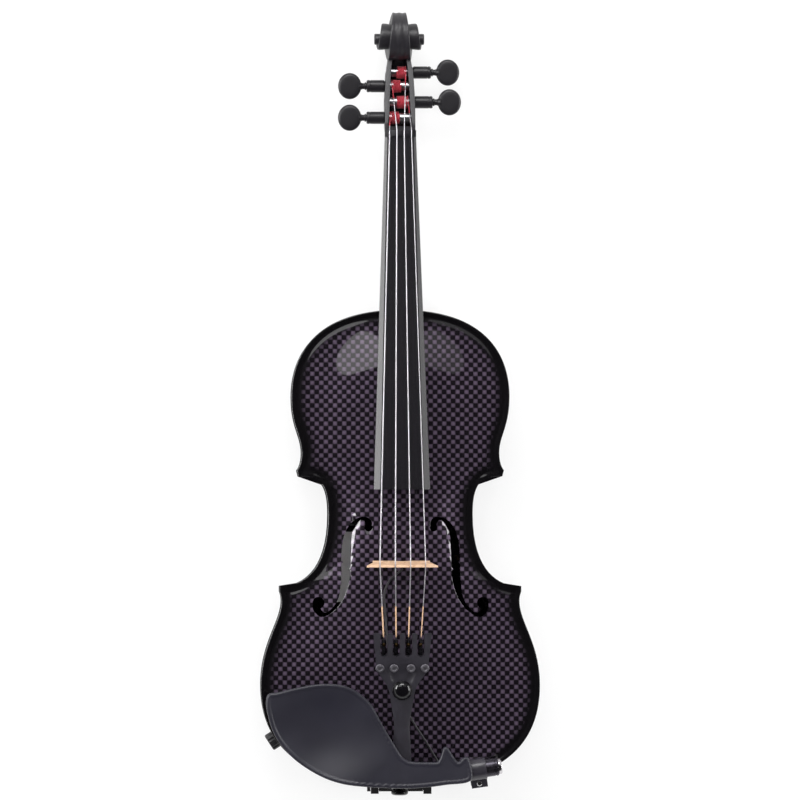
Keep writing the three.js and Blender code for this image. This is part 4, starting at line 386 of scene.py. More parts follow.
def round_edges(bm, edges, width, segments, clamped=False):
    """Rounds the edges of a form that is still being drawn."""
    bmesh.ops.bevel(bm, geom=edges, offset=width, segments=segments, profile=0.5, affect="EDGES", material=-1,
                    clamp_overlap=clamped)


def add_piece(name, bm, material, crease=35):
    """Makes the drawn mesh a piece: merged, facing outwards, in metres, smooth but for its creases."""
    bmesh.ops.remove_doubles(bm, verts=bm.verts, dist=0.002)
    bmesh.ops.recalc_face_normals(bm, faces=bm.faces)
    bmesh.ops.scale(bm, vec=(MM, MM, MM), verts=bm.verts)
    mesh = bpy.data.meshes.new(name)
    bm.to_mesh(mesh)
    bm.free()
    mesh.materials.append(material)
    piece = bpy.data.objects.new(name, mesh)
    bpy.context.scene.collection.objects.link(piece)
    crease_edges(piece, crease)
    return piece


def crease_edges(piece, crease):
    """Shades a piece smooth but for the edges that are sharper than an angle in degrees."""
    piece.data.shade_smooth()
    piece.data.set_sharp_from_angle(angle=math.radians(crease))


def bake(piece):
    """Applies a piece's modifiers to its mesh."""
    shape = bpy.data.meshes.new_from_object(piece.evaluated_get(bpy.context.evaluated_depsgraph_get()))
    piece.modifiers.clear()
    piece.data = shape


def cut(piece, tools, crease=35):
    """Cuts the tools out of a piece, one after another, and throws them away."""
    for tool in tools:
        knife = piece.modifiers.new(tool.name, "BOOLEAN")
        knife.operation = "DIFFERENCE"
        knife.solver = "MANIFOLD"
        knife.object = tool
    bake(piece)
    for tool in tools:
        bpy.data.objects.remove(tool)
    crease_edges(piece, crease)


def arched_plate(seat, arch, out):
    """A plate as one closed skin, from its inner spine out over the rim to its outer spine."""
    rim = body_outline(0)
    middle = body_top - body_length / 2

    def ring(share, height):
        places = []
        for p in rim:
            spine_y = middle + (p.y - middle) * spine_share
            x, y = p.x * share, spine_y + (p.y - spine_y) * share
            level = arch_height(share, x, y, arch) if height is None else height
            places.append((x, y, seat + out * level))
        return places

    inner = [ring(seat_share * i / inner_rings, None) for i in range(inner_rings + 1)]
    inner = [[(x, y, z - out * plate_wall) for x, y, z in places] for places in inner[:-1]]
    rounded = []
    for i in range(round_rings + 1):
        angle = math.pi / 2 * i / round_rings
        share = 1 - edge_round * (1 - math.cos(angle)) / half_bout["waist"]
        rounded.append(ring(share, edge_thickness - edge_round + edge_round * math.sin(angle)))
    outer_share = 1 - edge_round / half_bout["waist"]
    outer = [ring(outer_share - fine_step * i, None) for i in range(1, fine_rings + 1)]
    fine_end = outer_share - fine_step * fine_rings
    outer += [ring(fine_end * (1 - i / arch_rings), None) for i in range(1, arch_rings + 1)]
    return skin([*inner, ring(seat_share, 0), ring(1, 0), ring(1, 0.9), *rounded, *outer], capped=False)


sound_hole_top, sound_hole_length = 155.5, 75.0
upper_eye, lower_eye = ((0.451, 0.105), 2.9), ((1.139, 0.856), 4.4)
inner_notch, outer_notch, notch_depth = 0.517, 0.448, 1.2
hole_chamfer, hole_edge_level, hole_edge_angle = 0.35, 53.0, 50
tool_low, tool_high, eye_tool_length = top_seat - 4, top_seat + 22, 30
stem_inner = [
    (0.488, 0.088), (0.501, 0.052), (0.529, 0.033), (0.573, 0.035), (0.628, 0.087), (0.673, 0.16),
    (0.691, 0.267), (0.699, 0.373), (0.701, 0.496),
]
stem_inner_low = [
    (0.701, 0.539), (0.713, 0.627), (0.745, 0.72), (0.806, 0.827), (0.898, 0.915), (1.017, 0.981),
    (1.109, 0.995), (1.187, 0.955), (1.218, 0.907), (1.218, 0.867),
]
stem_outer_low = [
    (1.113, 0.905), (1.087, 0.939), (1.043, 0.955), (0.972, 0.925), (0.898, 0.861), (0.854, 0.78),
    (0.832, 0.667), (0.823, 0.56), (0.823, 0.469),
]
stem_outer = [
    (0.823, 0.427), (0.819, 0.36), (0.804, 0.253), (0.765, 0.147), (0.699, 0.067), (0.61, 0.013), (0.529, 0),
    (0.47, 0.004), (0.425, 0.025), (0.403, 0.061), (0.407, 0.099),
]


def sound_hole_tools(side):
    """The stem and the two eyes of one sound hole, as tall blocks to cut with."""
    notch = notch_depth / half_bout["waist"]
    stem = [
        *flowing(stem_inner, 5), Vector((stem_inner[-1][0] + notch, inner_notch)),
        *flowing(stem_inner_low, 5), *flowing(stem_outer_low, 5),
        Vector((stem_outer[0][0] - notch, outer_notch)), *flowing(stem_outer, 5),
    ]

    def place(across, down, level):
        return side * half_bout["waist"] * across, body_top - sound_hole_top - sound_hole_length * down, level

    stem_block = slab([place(*share, tool_low) for share in stem], (0, 0, tool_high - tool_low))
    tools = [add_piece("stem_tool", stem_block, carbon_cloth)]
    for share, radius in (upper_eye, lower_eye):
        bm = bmesh.new()
        bmesh.ops.create_cone(bm, cap_ends=True, segments=48, radius1=radius, radius2=radius,
                              depth=eye_tool_length)
        bmesh.ops.translate(bm, vec=place(*share, (tool_low + tool_high) / 2), verts=bm.verts)
        tools.append(add_piece("eye_tool", bm, carbon_cloth))
    return tools


# Plain-weave carbon cloth under clear polyester lacquer. One tow is 3.4 mm wide. Where the warp is on top
# the cloth is painted pale violet, a painted sheen of the black fibre, and where the weft is on top nearly
# black;
# each crossing is a small pillow, painted lighter in its middle as a highlight.
tow_width = 3.4
border_width = 12.5
border_solid = 5.5
tree, shader, spot, carbon_cloth = new_material(
    "carbon_cloth_lacquered", Metallic=0.5, Roughness=0.42, Specular_IOR_Level=0.1, Coat_Weight=1.0,
    Coat_Roughness=0.04, Coat_IOR=1.5)
turns = math.pi / (tow_width * MM)
cloth = add_node(tree, "Mapping", {"Vector": spot, "Scale": (turns, turns, 0), "Location": (0.0, 0.6, 0.0)})
thread = add_node(tree, "SeparateXYZ", {0: cloth})
weft = add_node(tree, "Math", {0: thread.outputs["X"]}, operation="SINE")
warp = add_node(tree, "Math", {0: thread.outputs["Y"]}, operation="SINE")
pillow = add_node(tree, "Math", {0: weft, 1: warp}, operation="MULTIPLY")
on_top = add_node(tree, "MapRange", {"Value": pillow, "From Min": -0.16, "From Max": 0.16},
                  interpolation_type="SMOOTHSTEP")
height = add_node(tree, "Math", {0: pillow}, operation="ABSOLUTE")
crown = add_node(tree, "Math", {0: height, 1: 0.6}, operation="POWER")
fibres = add_node(tree, "Mapping", {"Vector": spot, "Scale": (9 / MM, 0.5 / MM, 0)})
streaks = add_node(tree, "TexNoise", {"Vector": fibres, "Scale": 1.0, "Detail": 2.0})
streak_tone = add_node(tree, "MapRange", {"Value": streaks, "From Min": 0.3, "From Max": 0.7,
                                          "To Min": 0.82, "To Max": 1.12})
patches = add_node(tree, "TexNoise", {"Vector": spot, "Scale": 0.09 / MM, "Detail": 1.0})
patch_tone = add_node(tree, "MapRange", {"Value": patches, "From Min": 0.3, "From Max": 0.7,
                                         "To Min": 0.88, "To Max": 1.1})
shine = add_node(tree, "Math", {0: streak_tone, 1: patch_tone}, operation="MULTIPLY")
# Painted sheen: warp-on-top squares are painted pale violet and weft-on-top squares nearly black, though both
# are one black fibre
painted_weave_sheen = add_node(tree, "Mix", {0: on_top, 6: linear("#140e16"), 7: linear("#5d5062")}, data_type="RGBA")
# Painted highlight: each pillow is painted lighter in its middle and darker towards its sides
rounded = add_node(tree, "MapRange", {"Value": crown, "To Min": 0.3, "To Max": 1.0})
lustre = add_node(tree, "Math", {0: rounded, 1: shine}, operation="MULTIPLY")
toned = add_node(tree, "VectorMath", {0: painted_weave_sheen.outputs[2], 1: lustre}, operation="MULTIPLY")
margin = add_node(tree, "Attribute", attribute_name="margin")
border = add_node(tree, "Mix", {0: margin.outputs["Fac"], 6: toned, 7: linear("#0b090c")}, data_type="RGBA")
tree.links.new(border.outputs[2], shader.inputs["Base Color"])
inside = add_node(tree, "Math", {0: 1.0, 1: margin.outputs["Fac"]}, operation="SUBTRACT")
relief = add_node(tree, "Math", {0: crown, 1: inside}, operation="MULTIPLY")
pillows = add_node(tree, "Bump", {"Height": relief, "Distance": 0.12 * MM, "Strength": 0.7})
tree.links.new(pillows.outputs[0], shader.inputs["Normal"])

top = add_piece("top_plate_carbon", arched_plate(top_seat, top_arch, 1), carbon_cloth)
cut(top, [*sound_hole_tools(1), *sound_hole_tools(-1)])

bm = bmesh.new()
bm.from_mesh(top.data)
hole_edges = [
    e for e in sharp_edges(bm, hole_edge_angle)
    if min(v.co.z for v in e.verts) > hole_edge_level * MM
    and abs(e.verts[0].co.z - e.verts[1].co.z) < 0.4 * e.calc_length()
]
round_edges(bm, hole_edges, hole_chamfer * MM, 2)
bm.to_mesh(top.data)
bm.free()
crease_edges(top, 35)
margins = top.data.attributes.new("margin", "FLOAT", "POINT")
for vert, value in zip(top.data.vertices, margins.data):
    inwards = from_rim(vert.co.x / MM, vert.co.y / MM)
    value.value = ease((border_width - inwards) / (border_width - border_solid))
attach(top, "body")
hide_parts("top_plate")


# Back plate: the same lay-up with a lower arch, sprayed all over in black. A half round button stands out of
# its edge, and the heel of the neck is glued to it.
button_half = 10.5
button_length = 11.5
button_round = 0.8

# Black polyester lacquer, sprayed and polished: deep black with a sharp mirror, a trace of orange peel of 4
# mm and a polish that varies over 30 mm
tree, shader, spot, black_lacquer = new_material(
    "black_polyester_lacquer_polished", Base_Color=linear("#08070a"), Specular_IOR_Level=0.1, Coat_Weight=1.0,
    Coat_Roughness=0.03, Coat_IOR=1.5)
peel = add_node(tree, "TexNoise", {"Vector": spot, "Scale": 0.26 / MM, "Detail": 1.0})
ripple = add_node(tree, "Bump", {"Height": peel, "Distance": 0.02 * MM, "Strength": 0.25})
tree.links.new(ripple.outputs[0], shader.inputs["Coat Normal"])
grime = add_node(tree, "TexNoise", {"Vector": spot, "Scale": 0.035 / MM, "Detail": 3.0})
polish = add_node(tree, "MapRange", {"Value": grime, "To Min": 0.22, "To Max": 0.36})
tree.links.new(polish.outputs[0], shader.inputs["Roughness"])

back = add_piece("back_plate_shell", arched_plate(back_seat, back_arch, -1), black_lacquer)
disc = [(button_half * math.cos(math.pi * i / 24), body_top + button_length * math.sin(math.pi * i / 24))
        for i in range(25)]
disc += [(-button_half, body_top - edge_thickness), (button_half, body_top - edge_thickness)]
bm = slab([(x, y, back_seat - edge_thickness) for x, y in disc], (0, 0, edge_thickness))
lower_edges = [e for e in bm.edges if all(v.co.z < back_seat - edge_thickness + 0.1 for v in e.verts)]
round_edges(bm, lower_edges, button_round, 4)
button = add_piece("back_button", bm, black_lacquer)
for piece in (back, button):
    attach(piece, "body")
    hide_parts("back_plate")


# Ribs: the side wall of the body, one thin moulded hoop glued between the plates, well inside their edges,
# and sprayed in the same black.
edge_overhang = 2.8
rib_wall = 1.6
rib_rings = 8
outline = body_outline(edge_overhang)
hoop = [[(p.x, p.y, back_seat + rib_height * i / rib_rings) for p in outline] for i in range(rib_rings + 1)]
ribs = add_piece("rib_hoop", skin(hoop), black_lacquer, crease=30)
outline = body_outline(edge_overhang + rib_wall)
hollow = [[(p.x, p.y, z) for p in outline] for z in (back_seat - 5, top_seat + 5)]
cut(ribs, [add_piece("hollow", skin(hollow), black_lacquer)], crease=30)
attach(ribs, "body")
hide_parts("ribs")


# Neck: one piece of maple with its heel, sprayed in satin black. The shaft is carved round, and the heel
# swells into it from the back's button.
neck_stop = 130.0
nut_face = body_top + neck_stop
nut_width = 23.5
board_end_width = 42.0
board_length = 265.0
board_margin = 0.3
neck_slope = math.tan(math.radians(6.2))
overstand = 6.0
glue_at_body = top_seat + edge_thickness + overstand
depth_at_nut, depth_at_body = 12.2, 13.2
heel_stations = [
    (0, 0, 11.2), (0.13, 0.05, 9.8), (0.33, 0.25, 9.4), (0.53, 0.5, 10.6), (0.68, 0.7, 13),
    (0.8, 0.85, 18.5), (0.9, 0.94, 27), (0.98, 1, 40),
]
heel_into_body = 3.0
beyond_nut = 5.0
shaft_rings = 30
shaft_fullness = 0.8
carving_voxel, sanding_passes = 0.7, 12
half_turn = [math.pi * k / 28 for k in range(29)]


def glue_level(y):
    """Height of the sloping face on which the fingerboard is glued."""
    return glue_at_body + (body_top - y) * neck_slope


def board_width(y):
    """Width of the fingerboard, which the neck follows."""
    return nut_width + (board_end_width - nut_width) * (nut_face - y) / board_length


# Satin nitrocellulose lacquer over hard maple: dark grey and softly shining. Its grain is 1.4 mm wide and 22
# mm long, and it is rubbed glossier in patches of 17 mm
tree, shader, spot, satin_lacquer = new_material(
    "satin_nitro_lacquer_sprayed", Roughness=0.34, Specular_IOR_Level=0.5)
grain_place = add_node(tree, "Mapping", {"Vector": spot, "Scale": (0.7 / MM, 0.045 / MM, 0.7 / MM)})
grain = add_node(tree, "TexNoise", {"Vector": grain_place, "Scale": 1.0, "Detail": 3.0})
tone = add_node(tree, "Mix", {0: grain, 6: linear("#151317"), 7: linear("#211f24")}, data_type="RGBA")
tree.links.new(tone.outputs[2], shader.inputs["Base Color"])
wear = add_node(tree, "TexNoise", {"Vector": spot, "Scale": 0.06 / MM, "Detail": 2.0})
gloss = add_node(tree, "MapRange", {"Value": wear, "To Min": 0.34, "To Max": 0.5})
tree.links.new(gloss.outputs[0], shader.inputs["Roughness"])
pores = add_node(tree, "Bump", {"Height": grain, "Distance": 0.03 * MM, "Strength": 0.3})
tree.links.new(pores.outputs[0], shader.inputs["Normal"])

rings = []
for i in range(shaft_rings + 1):
    y = nut_face + beyond_nut - (neck_stop + beyond_nut) * i / shaft_rings
    half = board_width(y) / 2 - board_margin
    share = max(0, (nut_face - y) / neck_stop)
    depth = depth_at_nut + (depth_at_body - depth_at_nut) * share
    rings.append([
        (half * math.cos(a), y, glue_level(y) - depth * math.sin(a) ** shaft_fullness)
        for a in half_turn
    ])
shaft = add_piece("neck_shaft", skin(rings), satin_lacquer)
rings = []
for level, half_share, reach in flowing(heel_stations, 6):
    z = back_seat + (glue_at_body - back_seat) * level
    half = button_half + (board_width(body_top) / 2 - board_margin - button_half) * half_share
    arc = [(half * math.cos(a), body_top + reach * math.sin(a), z) for a in half_turn]
    rings.append(arc + [(-half, body_top - heel_into_body, z), (half, body_top - heel_into_body, z)])
heel = add_piece("neck_heel", skin(rings), satin_lacquer)
joint = shaft.modifiers.new("glued", "BOOLEAN")
joint.operation = "UNION"
joint.solver = "MANIFOLD"
joint.object = heel
carved = shaft.modifiers.new("carved", "REMESH")
carved.mode = "VOXEL"
carved.voxel_size = carving_voxel * MM
sanded = shaft.modifiers.new("sanded", "SMOOTH")
sanded.factor = 0.5
sanded.iterations = sanding_passes
bake(shaft)
bpy.data.objects.remove(heel)
bm = bmesh.new()
bm.from_mesh(shaft.data)
glue = Vector((0, body_top, glue_at_body)) * MM
bmesh.ops.bisect_plane(bm, geom=[*bm.verts, *bm.edges, *bm.faces], plane_co=glue,
                       plane_no=Vector((0, neck_slope, 1)).normalized(), clear_outer=True)
bmesh.ops.holes_fill(bm, edges=[e for e in bm.edges if e.is_boundary])
bm.to_mesh(shaft.data)
bm.free()
crease_edges(shaft, 50)
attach(shaft, "body")
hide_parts("neck")


# Pegbox: the open box beyond the nut, carved in one with the neck. Its rim is softened, and a hole
# through both walls takes each peg.
head_length = 95.4
scroll_radius = 20.3
scroll_y = nut_face + head_length - scroll_radius
scroll_z = scroll_radius * 1.03
pegbox_start = nut_face + 5.6
pegbox_run = scroll_y - pegbox_start
pegbox_fall = 0.315
pegbox_depth = 27.6
rim_at_nut = glue_level(nut_face) + 2.4
pegbox_stations = [
    (-0.1, 0.95, 0.42), (-0.04, 0.965, 0.66), (0.03, 0.97, 0.9), (0.12, 0.97, 1), (0.3, 0.97, 0.985),
    (0.5, 0.92, 0.93), (0.64, 0.86, 0.88), (0.76, 0.74, 0.84), (0.88, 0.67, 0.83),
]
cavity_stations = [
    (0.035, 0.78, 0.62), (0.12, 0.75, 0.72), (0.22, 0.67, 0.72), (0.45, 0.62, 0.7), (0.66, 0.54, 0.66),
    (0.79, 0.45, 0.5),
]
# Each peg: the side its head stands on, its place as shares of the pegbox's run and depth, and its turns of
# silk
peg_shares = {
    "g": (-1, 0.1381, 0.3623, 5), "e": (1, 0.3122, 0.3768, 6),
    "d": (-1, 0.4892, 0.3804, 5), "a": (1, 0.6417, 0.3623, 5),
}
collar_radius = 4.65
collar_seat_hole = 4.1
spool_end_hole = 3.3
front_step, corner_share, rim_round = 1.4, 0.55, 0.6
cavity_above, cavity_chamfer, drilled_past = 8, 2, 5
quarter_bend = [math.pi / 2 * k / 6 for k in range(7)]


def rim_level(y):
    """Height of the pegbox's rim, which falls away from the nut."""
    return rim_at_nut - (y - pegbox_start) * pegbox_fall


def half_width_at(stations, y):
    """Half the width of the pegbox or of its cavity at a place, from its stations."""
    run = (y - pegbox_start) / pegbox_run
    after = next(i for i, station in enumerate(stations) if station[0] > run)
    (run0, width0, _), (run1, width1, _) = stations[after - 1], stations[after]
    return nut_width / 2 * (width0 + (width1 - width0) * (run - run0) / (run1 - run0))


pegs = {}
for name, (side, run, down, loops) in peg_shares.items():
    y = pegbox_start + pegbox_run * run
    wall = max(half_width_at(pegbox_stations, y - collar_radius), half_width_at(pegbox_stations, y))
    inside_wall = half_width_at(cavity_stations, y)
    pegs[name] = (side, y, rim_level(y) - pegbox_depth * down, wall, inside_wall, loops)


def rod(start, end, radius, segments=32):
    """A round bar between two points."""
    start, end = Vector(start), Vector(end)
    bm = bmesh.new()
    bmesh.ops.create_cone(bm, cap_ends=True, segments=segments, radius1=radius, radius2=radius,
                          depth=(end - start).length)
    turn = (end - start).to_track_quat("Z", "Y").to_matrix()
    bmesh.ops.rotate(bm, cent=(0, 0, 0), matrix=turn, verts=bm.verts)
    bmesh.ops.translate(bm, vec=(start + end) / 2, verts=bm.verts)
    return bm


def soften(piece, width, segments=3, sharper_than=35, crease=40):
    """Rounds a finished piece's edges that are sharper than an angle, by a width in millimetres."""
    edges = piece.modifiers.new("softened_edges", "BEVEL")
    edges.width, edges.segments, edges.limit_method = width * MM, segments, "ANGLE"
    edges.angle_limit = math.radians(sharper_than)
    bake(piece)
    crease_edges(piece, crease)


rings = []
for run, width, depth in flowing(pegbox_stations, 4):
    y = pegbox_start + pegbox_run * run
    half = nut_width / 2 * width
    front = min(rim_level(y), rim_at_nut - front_step)
    low = rim_level(y) - pegbox_depth * depth
    corner = half * corner_share
    under = [(-half + corner * (1 - math.cos(a)), y, low + corner * (1 - math.sin(a))) for a in quarter_bend]
    rings.append([(-half, y, front), *under, *[(-x, y, z) for x, _, z in reversed(under)], (half, y, front)])
pegbox = add_piece("pegbox_shell", skin(rings), satin_lacquer)
rings = []
for run, width, depth in flowing(cavity_stations, 4):
    y = pegbox_start + pegbox_run * run
    half = nut_width / 2 * width
    roof, low = rim_level(y) + cavity_above, rim_level(y) - pegbox_depth * depth
    left = [(-half, y, roof), (-half, y, low + cavity_chamfer), (-half + cavity_chamfer, y, low)]
    rings.append(left + [(-x, y, z) for x, _, z in reversed(left)])
tools = [add_piece("cavity_tool", skin(rings), satin_lacquer)]
for side, y, z, wall, *_ in pegs.values():
    past = side * (wall + drilled_past)
    for reach, radius in ((past, collar_seat_hole), (-past, spool_end_hole)):
        tools.append(add_piece("peg_hole_tool", rod((0, y, z), (reach, y, z), radius), satin_lacquer))
cut(pegbox, tools)
soften(pegbox, rim_round, sharper_than=40)
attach(pegbox, "body")
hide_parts("neck")


# Scroll: the end of the head, carved as a band that winds in over two and a quarter turns and widens
# to its eye. Its outside has two flutes with a comb between them.
radius_shares = [1.03, 1, 0.9, 0.8, 0.7, 0.59, 0.49, 0.395, 0.3, 0.205]
width_shares = [0.46, 0.28, 0.385, 0.47, 0.6, 0.7, 0.8, 0.875, 0.94, 1]
eye_half_width = 18.8
flute_depth = 0.6
edge_bevel = 0.7
quarters, quarter_steps = 9, 12
turn_overlap, innermost = 1.5, 0.4
across_steps, fluted_part, full_flute_half = 24, 0.9, 8
eye_round = 0.8


def at_quarter(shares, quarter):
    """A share between two quarters of the scroll's turn, on a smooth curve."""
    between = 8
    curve = flowing([(s, 0) for s in shares], between)
    place = min(quarter, len(shares) - 1) * between
    low = min(int(place), len(curve) - 2)
    return curve[low].x + (curve[low + 1].x - curve[low].x) * (place - low)


def inside_of_turn(quarter):
    """The band reaches in to the next turn of itself, or nearly to the axle where it is the innermost."""
    if quarter + 4 > quarters:
        return innermost
    return max(scroll_radius * at_quarter(radius_shares, quarter + 4) - turn_overlap, innermost)


rings = []
for i in range(quarters * quarter_steps + 1):
    quarter = i / quarter_steps
    radius = scroll_radius * at_quarter(radius_shares, quarter)
    half = eye_half_width * at_quarter(width_shares, quarter)
    inner = inside_of_turn(quarter)
    angle = math.pi / 2 * (quarter - 1)
    across = []
    for k in range(across_steps + 1):
        u = 2 * k / across_steps - 1
        flute = flute_depth * math.sin(math.pi * abs(u) / fluted_part) ** 2 if abs(u) < fluted_part else 0
        across.append((u * half, radius - flute * min(1, half / full_flute_half)))
    left, right = across[0][0], across[-1][0]
    eased = edge_bevel * 0.3
    profile = [(left, inner), (left, radius - edge_bevel), (left + eased, radius - eased), *across[1:-1],
               (right - eased, radius - eased), (right, radius - edge_bevel), (right, inner)]
    rings.append([(x, scroll_y + r * math.cos(angle), scroll_z + r * math.sin(angle)) for x, r in profile])
scroll = add_piece("scroll_band", skin(rings), satin_lacquer, crease=40)
eye_radius = scroll_radius * radius_shares[-1]
bm = rod((-eye_half_width, scroll_y, scroll_z), (eye_half_width, scroll_y, scroll_z), eye_radius, 40)
rims = [e for e in bm.edges if abs(e.verts[0].co.x - e.verts[1].co.x) < 0.01]
round_edges(bm, rims, eye_round, 4)
eye = add_piece("scroll_eye", bm, satin_lacquer)
for piece in (scroll, eye):
    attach(piece, "body")
    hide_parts("neck")


# Fingerboard: a straight bar of black phenolic composite, glued on the neck and free over the body. Its top
# is planed to a 42 mm radius, flat along both edges, and rubbed satin.
board_edge = 5.0
board_radius = 42.0
glue_line = 0.3
facet_at_nut, facet_at_end = 2.3, 5.8
facet_slope = math.tan(math.radians(29))
board_rings, facet_steps, crown_steps = 40, 4, 14
board_edge_round = 0.25


def board_top(x, y):
    """Height of the board's round top."""
    half = board_width(y) / 2
    crown = math.sqrt(board_radius ** 2 - x ** 2) - math.sqrt(board_radius ** 2 - half ** 2)
    return glue_level(y) + board_edge + crown


def planed_top(x, y):
    """The board's top with a flat planed along each edge, which widens towards the bridge."""
    share = (nut_face - y) / board_length
    flat_start = board_width(y) / 2 - facet_at_nut - (facet_at_end - facet_at_nut) * share
    drop = max(0, abs(x) - flat_start) * facet_slope
    return min(board_top(x, y), board_top(flat_start, y) - drop)


# Phenolic composite, sanded lengthwise: near black, with straight scratches from nut to bridge, drawn 0.4 mm
# wide and 33 mm long so that they show
tree, shader, spot, phenolic = new_material(
    "phenolic_composite_rubbed", Roughness=0.4, Specular_IOR_Level=0.35)
scratch_place = add_node(tree, "Mapping", {"Vector": spot, "Scale": (2.6 / MM, 0.03 / MM, 2.6 / MM)})
scratches = add_node(tree, "TexNoise", {"Vector": scratch_place, "Scale": 1.0, "Detail": 3.0})
tone = add_node(tree, "Mix", {0: scratches, 6: linear("#0c0b0e"), 7: linear("#151318")}, data_type="RGBA")
tree.links.new(tone.outputs[2], shader.inputs["Base Color"])
rub = add_node(tree, "MapRange", {"Value": scratches, "To Min": 0.2, "To Max": 0.3})
tree.links.new(rub.outputs[0], shader.inputs["Roughness"])
lines = add_node(tree, "Bump", {"Height": scratches, "Distance": 0.02 * MM, "Strength": 0.3})
tree.links.new(lines.outputs[0], shader.inputs["Normal"])

rings = []
for i in range(board_rings + 1):
    y = nut_face - board_length * i / board_rings
    half = board_width(y) / 2
    facet = facet_at_nut + (facet_at_end - facet_at_nut) * i / board_rings
    bends = [half - facet * k / facet_steps for k in range(facet_steps)]
    bends += [(half - facet) * (1 - k / crown_steps) for k in range(crown_steps + 1)]
    top_line = [(x, y, planed_top(x, y)) for x in bends + [-x for x in reversed(bends[:-1])]]
    rings.append([(-half, y, glue_level(y) + glue_line), (half, y, glue_level(y) + glue_line), *top_line])
bm = skin(rings)
round_edges(bm, sharp_edges(bm, 40), board_edge_round, 3)
board = add_piece("fingerboard_bar", bm, phenolic)
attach(board, "body")
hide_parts("fingerboard")


# Nut: a strip of the same composite, glued across the end of the fingerboard and notched for the four
# strings. The strings' bends between their balls and their pegs are worked out here, because the notches
# follow them.
nut_thickness = 5.0
nut_rise = 0.7
nut_gap = 0.15
nut_rings = 8
notch_clearance = 0.3
body_stop_share = 0.5354
bridge_line = body_top - body_length * body_stop_share
bridge_thickness = 4.9
tail_face = bridge_line - bridge_thickness / 2
board_face = tail_face + bridge_thickness
crown_thickness = 1.8
saddle_inset, saddle_half, saddle_rise = 0.8, 3.5, 8.5
saddle_y = body_top - body_length + saddle_inset + saddle_half
saddle_top = top_seat + edge_thickness + saddle_rise
tail_clear = 2.8
tail_length, tail_past_saddle, ball_inset = 108.0, 1.7, 8.6
tail_high = saddle_y + tail_past_saddle + tail_length
nut_spacing, bridge_spacing, slot_spread = 16.5, 34.0, 27.4
tuner_spread, tuner_inner_spread = 33.6, 12.6
string_float = 0.5
silk_radius, winding_radius, winding_gap, silk_stop = 0.45, 4.4, 1.0, 1.3
bend_reach, bend_fall, nut_fall, nut_back_share = 0.5, 0.2, 0.1, 0.6
# Each string: its place across as a share of the spacing, its radius, and its height over the board's end
string_shares = {
    "g": (-1 / 2, 0.42, 5.4), "d": (-1 / 6, 0.42, 4.9), "a": (1 / 6, 0.38, 4.2), "e": (1 / 2, 0.3, 3.5),
}
strings = {}
for name, (share, radius, clear) in string_shares.items():
    nut_x, bridge_x = nut_spacing * share, bridge_spacing * share
    nut_z = board_top(nut_x, nut_face) + string_float + radius
    board_end = nut_face - board_length
    run = (nut_face - bridge_line) / (nut_face - board_end)
    along_x = nut_x + (bridge_x - nut_x) / run
    bridge_z = nut_z + (board_top(along_x, board_end) + clear + radius - nut_z) * run
    screw = math.copysign((tuner_spread if abs(share) == 1 / 2 else tuner_inner_spread) / 2, share)
    side, peg_y, peg_z, _, inside_wall, _ = pegs[name]
    start_z = nut_z - nut_thickness * pegbox_fall * nut_back_share
    run_y, run_z = nut_face + nut_thickness - peg_y, start_z - peg_z
    turn = math.atan2(run_z, run_y) - math.acos(winding_radius / math.hypot(run_y, run_z))
    winding_x = side * (inside_wall - winding_gap - silk_radius)
    touch = Vector((
        winding_x, peg_y + winding_radius * math.cos(turn), peg_z + winding_radius * math.sin(turn)))
    leaves = Vector((nut_x, nut_face + nut_thickness, start_z))
    strings[name] = dict(
        nut=(nut_x, nut_z), bridge=(bridge_x, bridge_z), slot=slot_spread * share, screw=screw, radius=radius,
        leaves=leaves, end=touch + (leaves - touch).normalized() * silk_stop, winding=(winding_x, turn))
tail_slope = ((strings["d"]["bridge"][1] + strings["a"]["bridge"][1]) / 2 - saddle_top - tail_clear) / (
    bridge_line - saddle_y)
ball_y = tail_high - ball_inset


def tail_level(y):
    """Height of the tailpiece's middle, which slopes from the bridge down to the saddle."""
    return saddle_top + tail_clear + (y - saddle_y) * tail_slope


def string_route(name):
    """The bends of a string from its ball over the bridge and the nut to its peg."""
    string = strings[name]
    (nut_x, nut_z), (bridge_x, bridge_z) = string["nut"], string["bridge"]
    return [
        (string["slot"], ball_y, tail_level(ball_y)),
        (bridge_x, tail_face - bend_reach, bridge_z - bend_fall),
        (bridge_x, tail_face + crown_thickness / 2, bridge_z),
        (bridge_x, board_face + bend_reach, bridge_z - bend_fall),
        (nut_x, nut_face - bend_reach, nut_z), (nut_x, nut_face + nut_thickness / 2, nut_z - nut_fall),
        string["leaves"], string["end"],
    ]


def notch_tools(steps):
    """A round groove along each string, in the stretch between two bends."""
    tools = []
    for name, string in strings.items():
        bends = string_route(name)
        for first, second in steps:
            start, end = Vector(bends[first]), Vector(bends[second])
            reach = (end - start).normalized() * 2
            groove = rod(start - reach, end + reach, string["radius"] + notch_clearance, 16)
            tools.append(add_piece("notch_tool", groove, phenolic))
    return tools


rings = []
for i in range(nut_rings + 1):
    y = nut_face + nut_gap + (nut_thickness - nut_gap) * i / nut_rings
    half = nut_width / 2
    rise = nut_rise * (1 - (i / nut_rings) ** 1.5)
    top_line = [(x, y, board_top(x, nut_face) + rise) for x in (half * (1 - 2 * k / 24) for k in range(25))]
    low = glue_level(nut_face) + glue_line
    rings.append([(-half, y, low), (half, y, low), *top_line])
nut = add_piece("nut_strip", skin(rings), phenolic)
cut(nut, notch_tools([(4, 5), (5, 6)]))
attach(nut, "body")
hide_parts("nut")


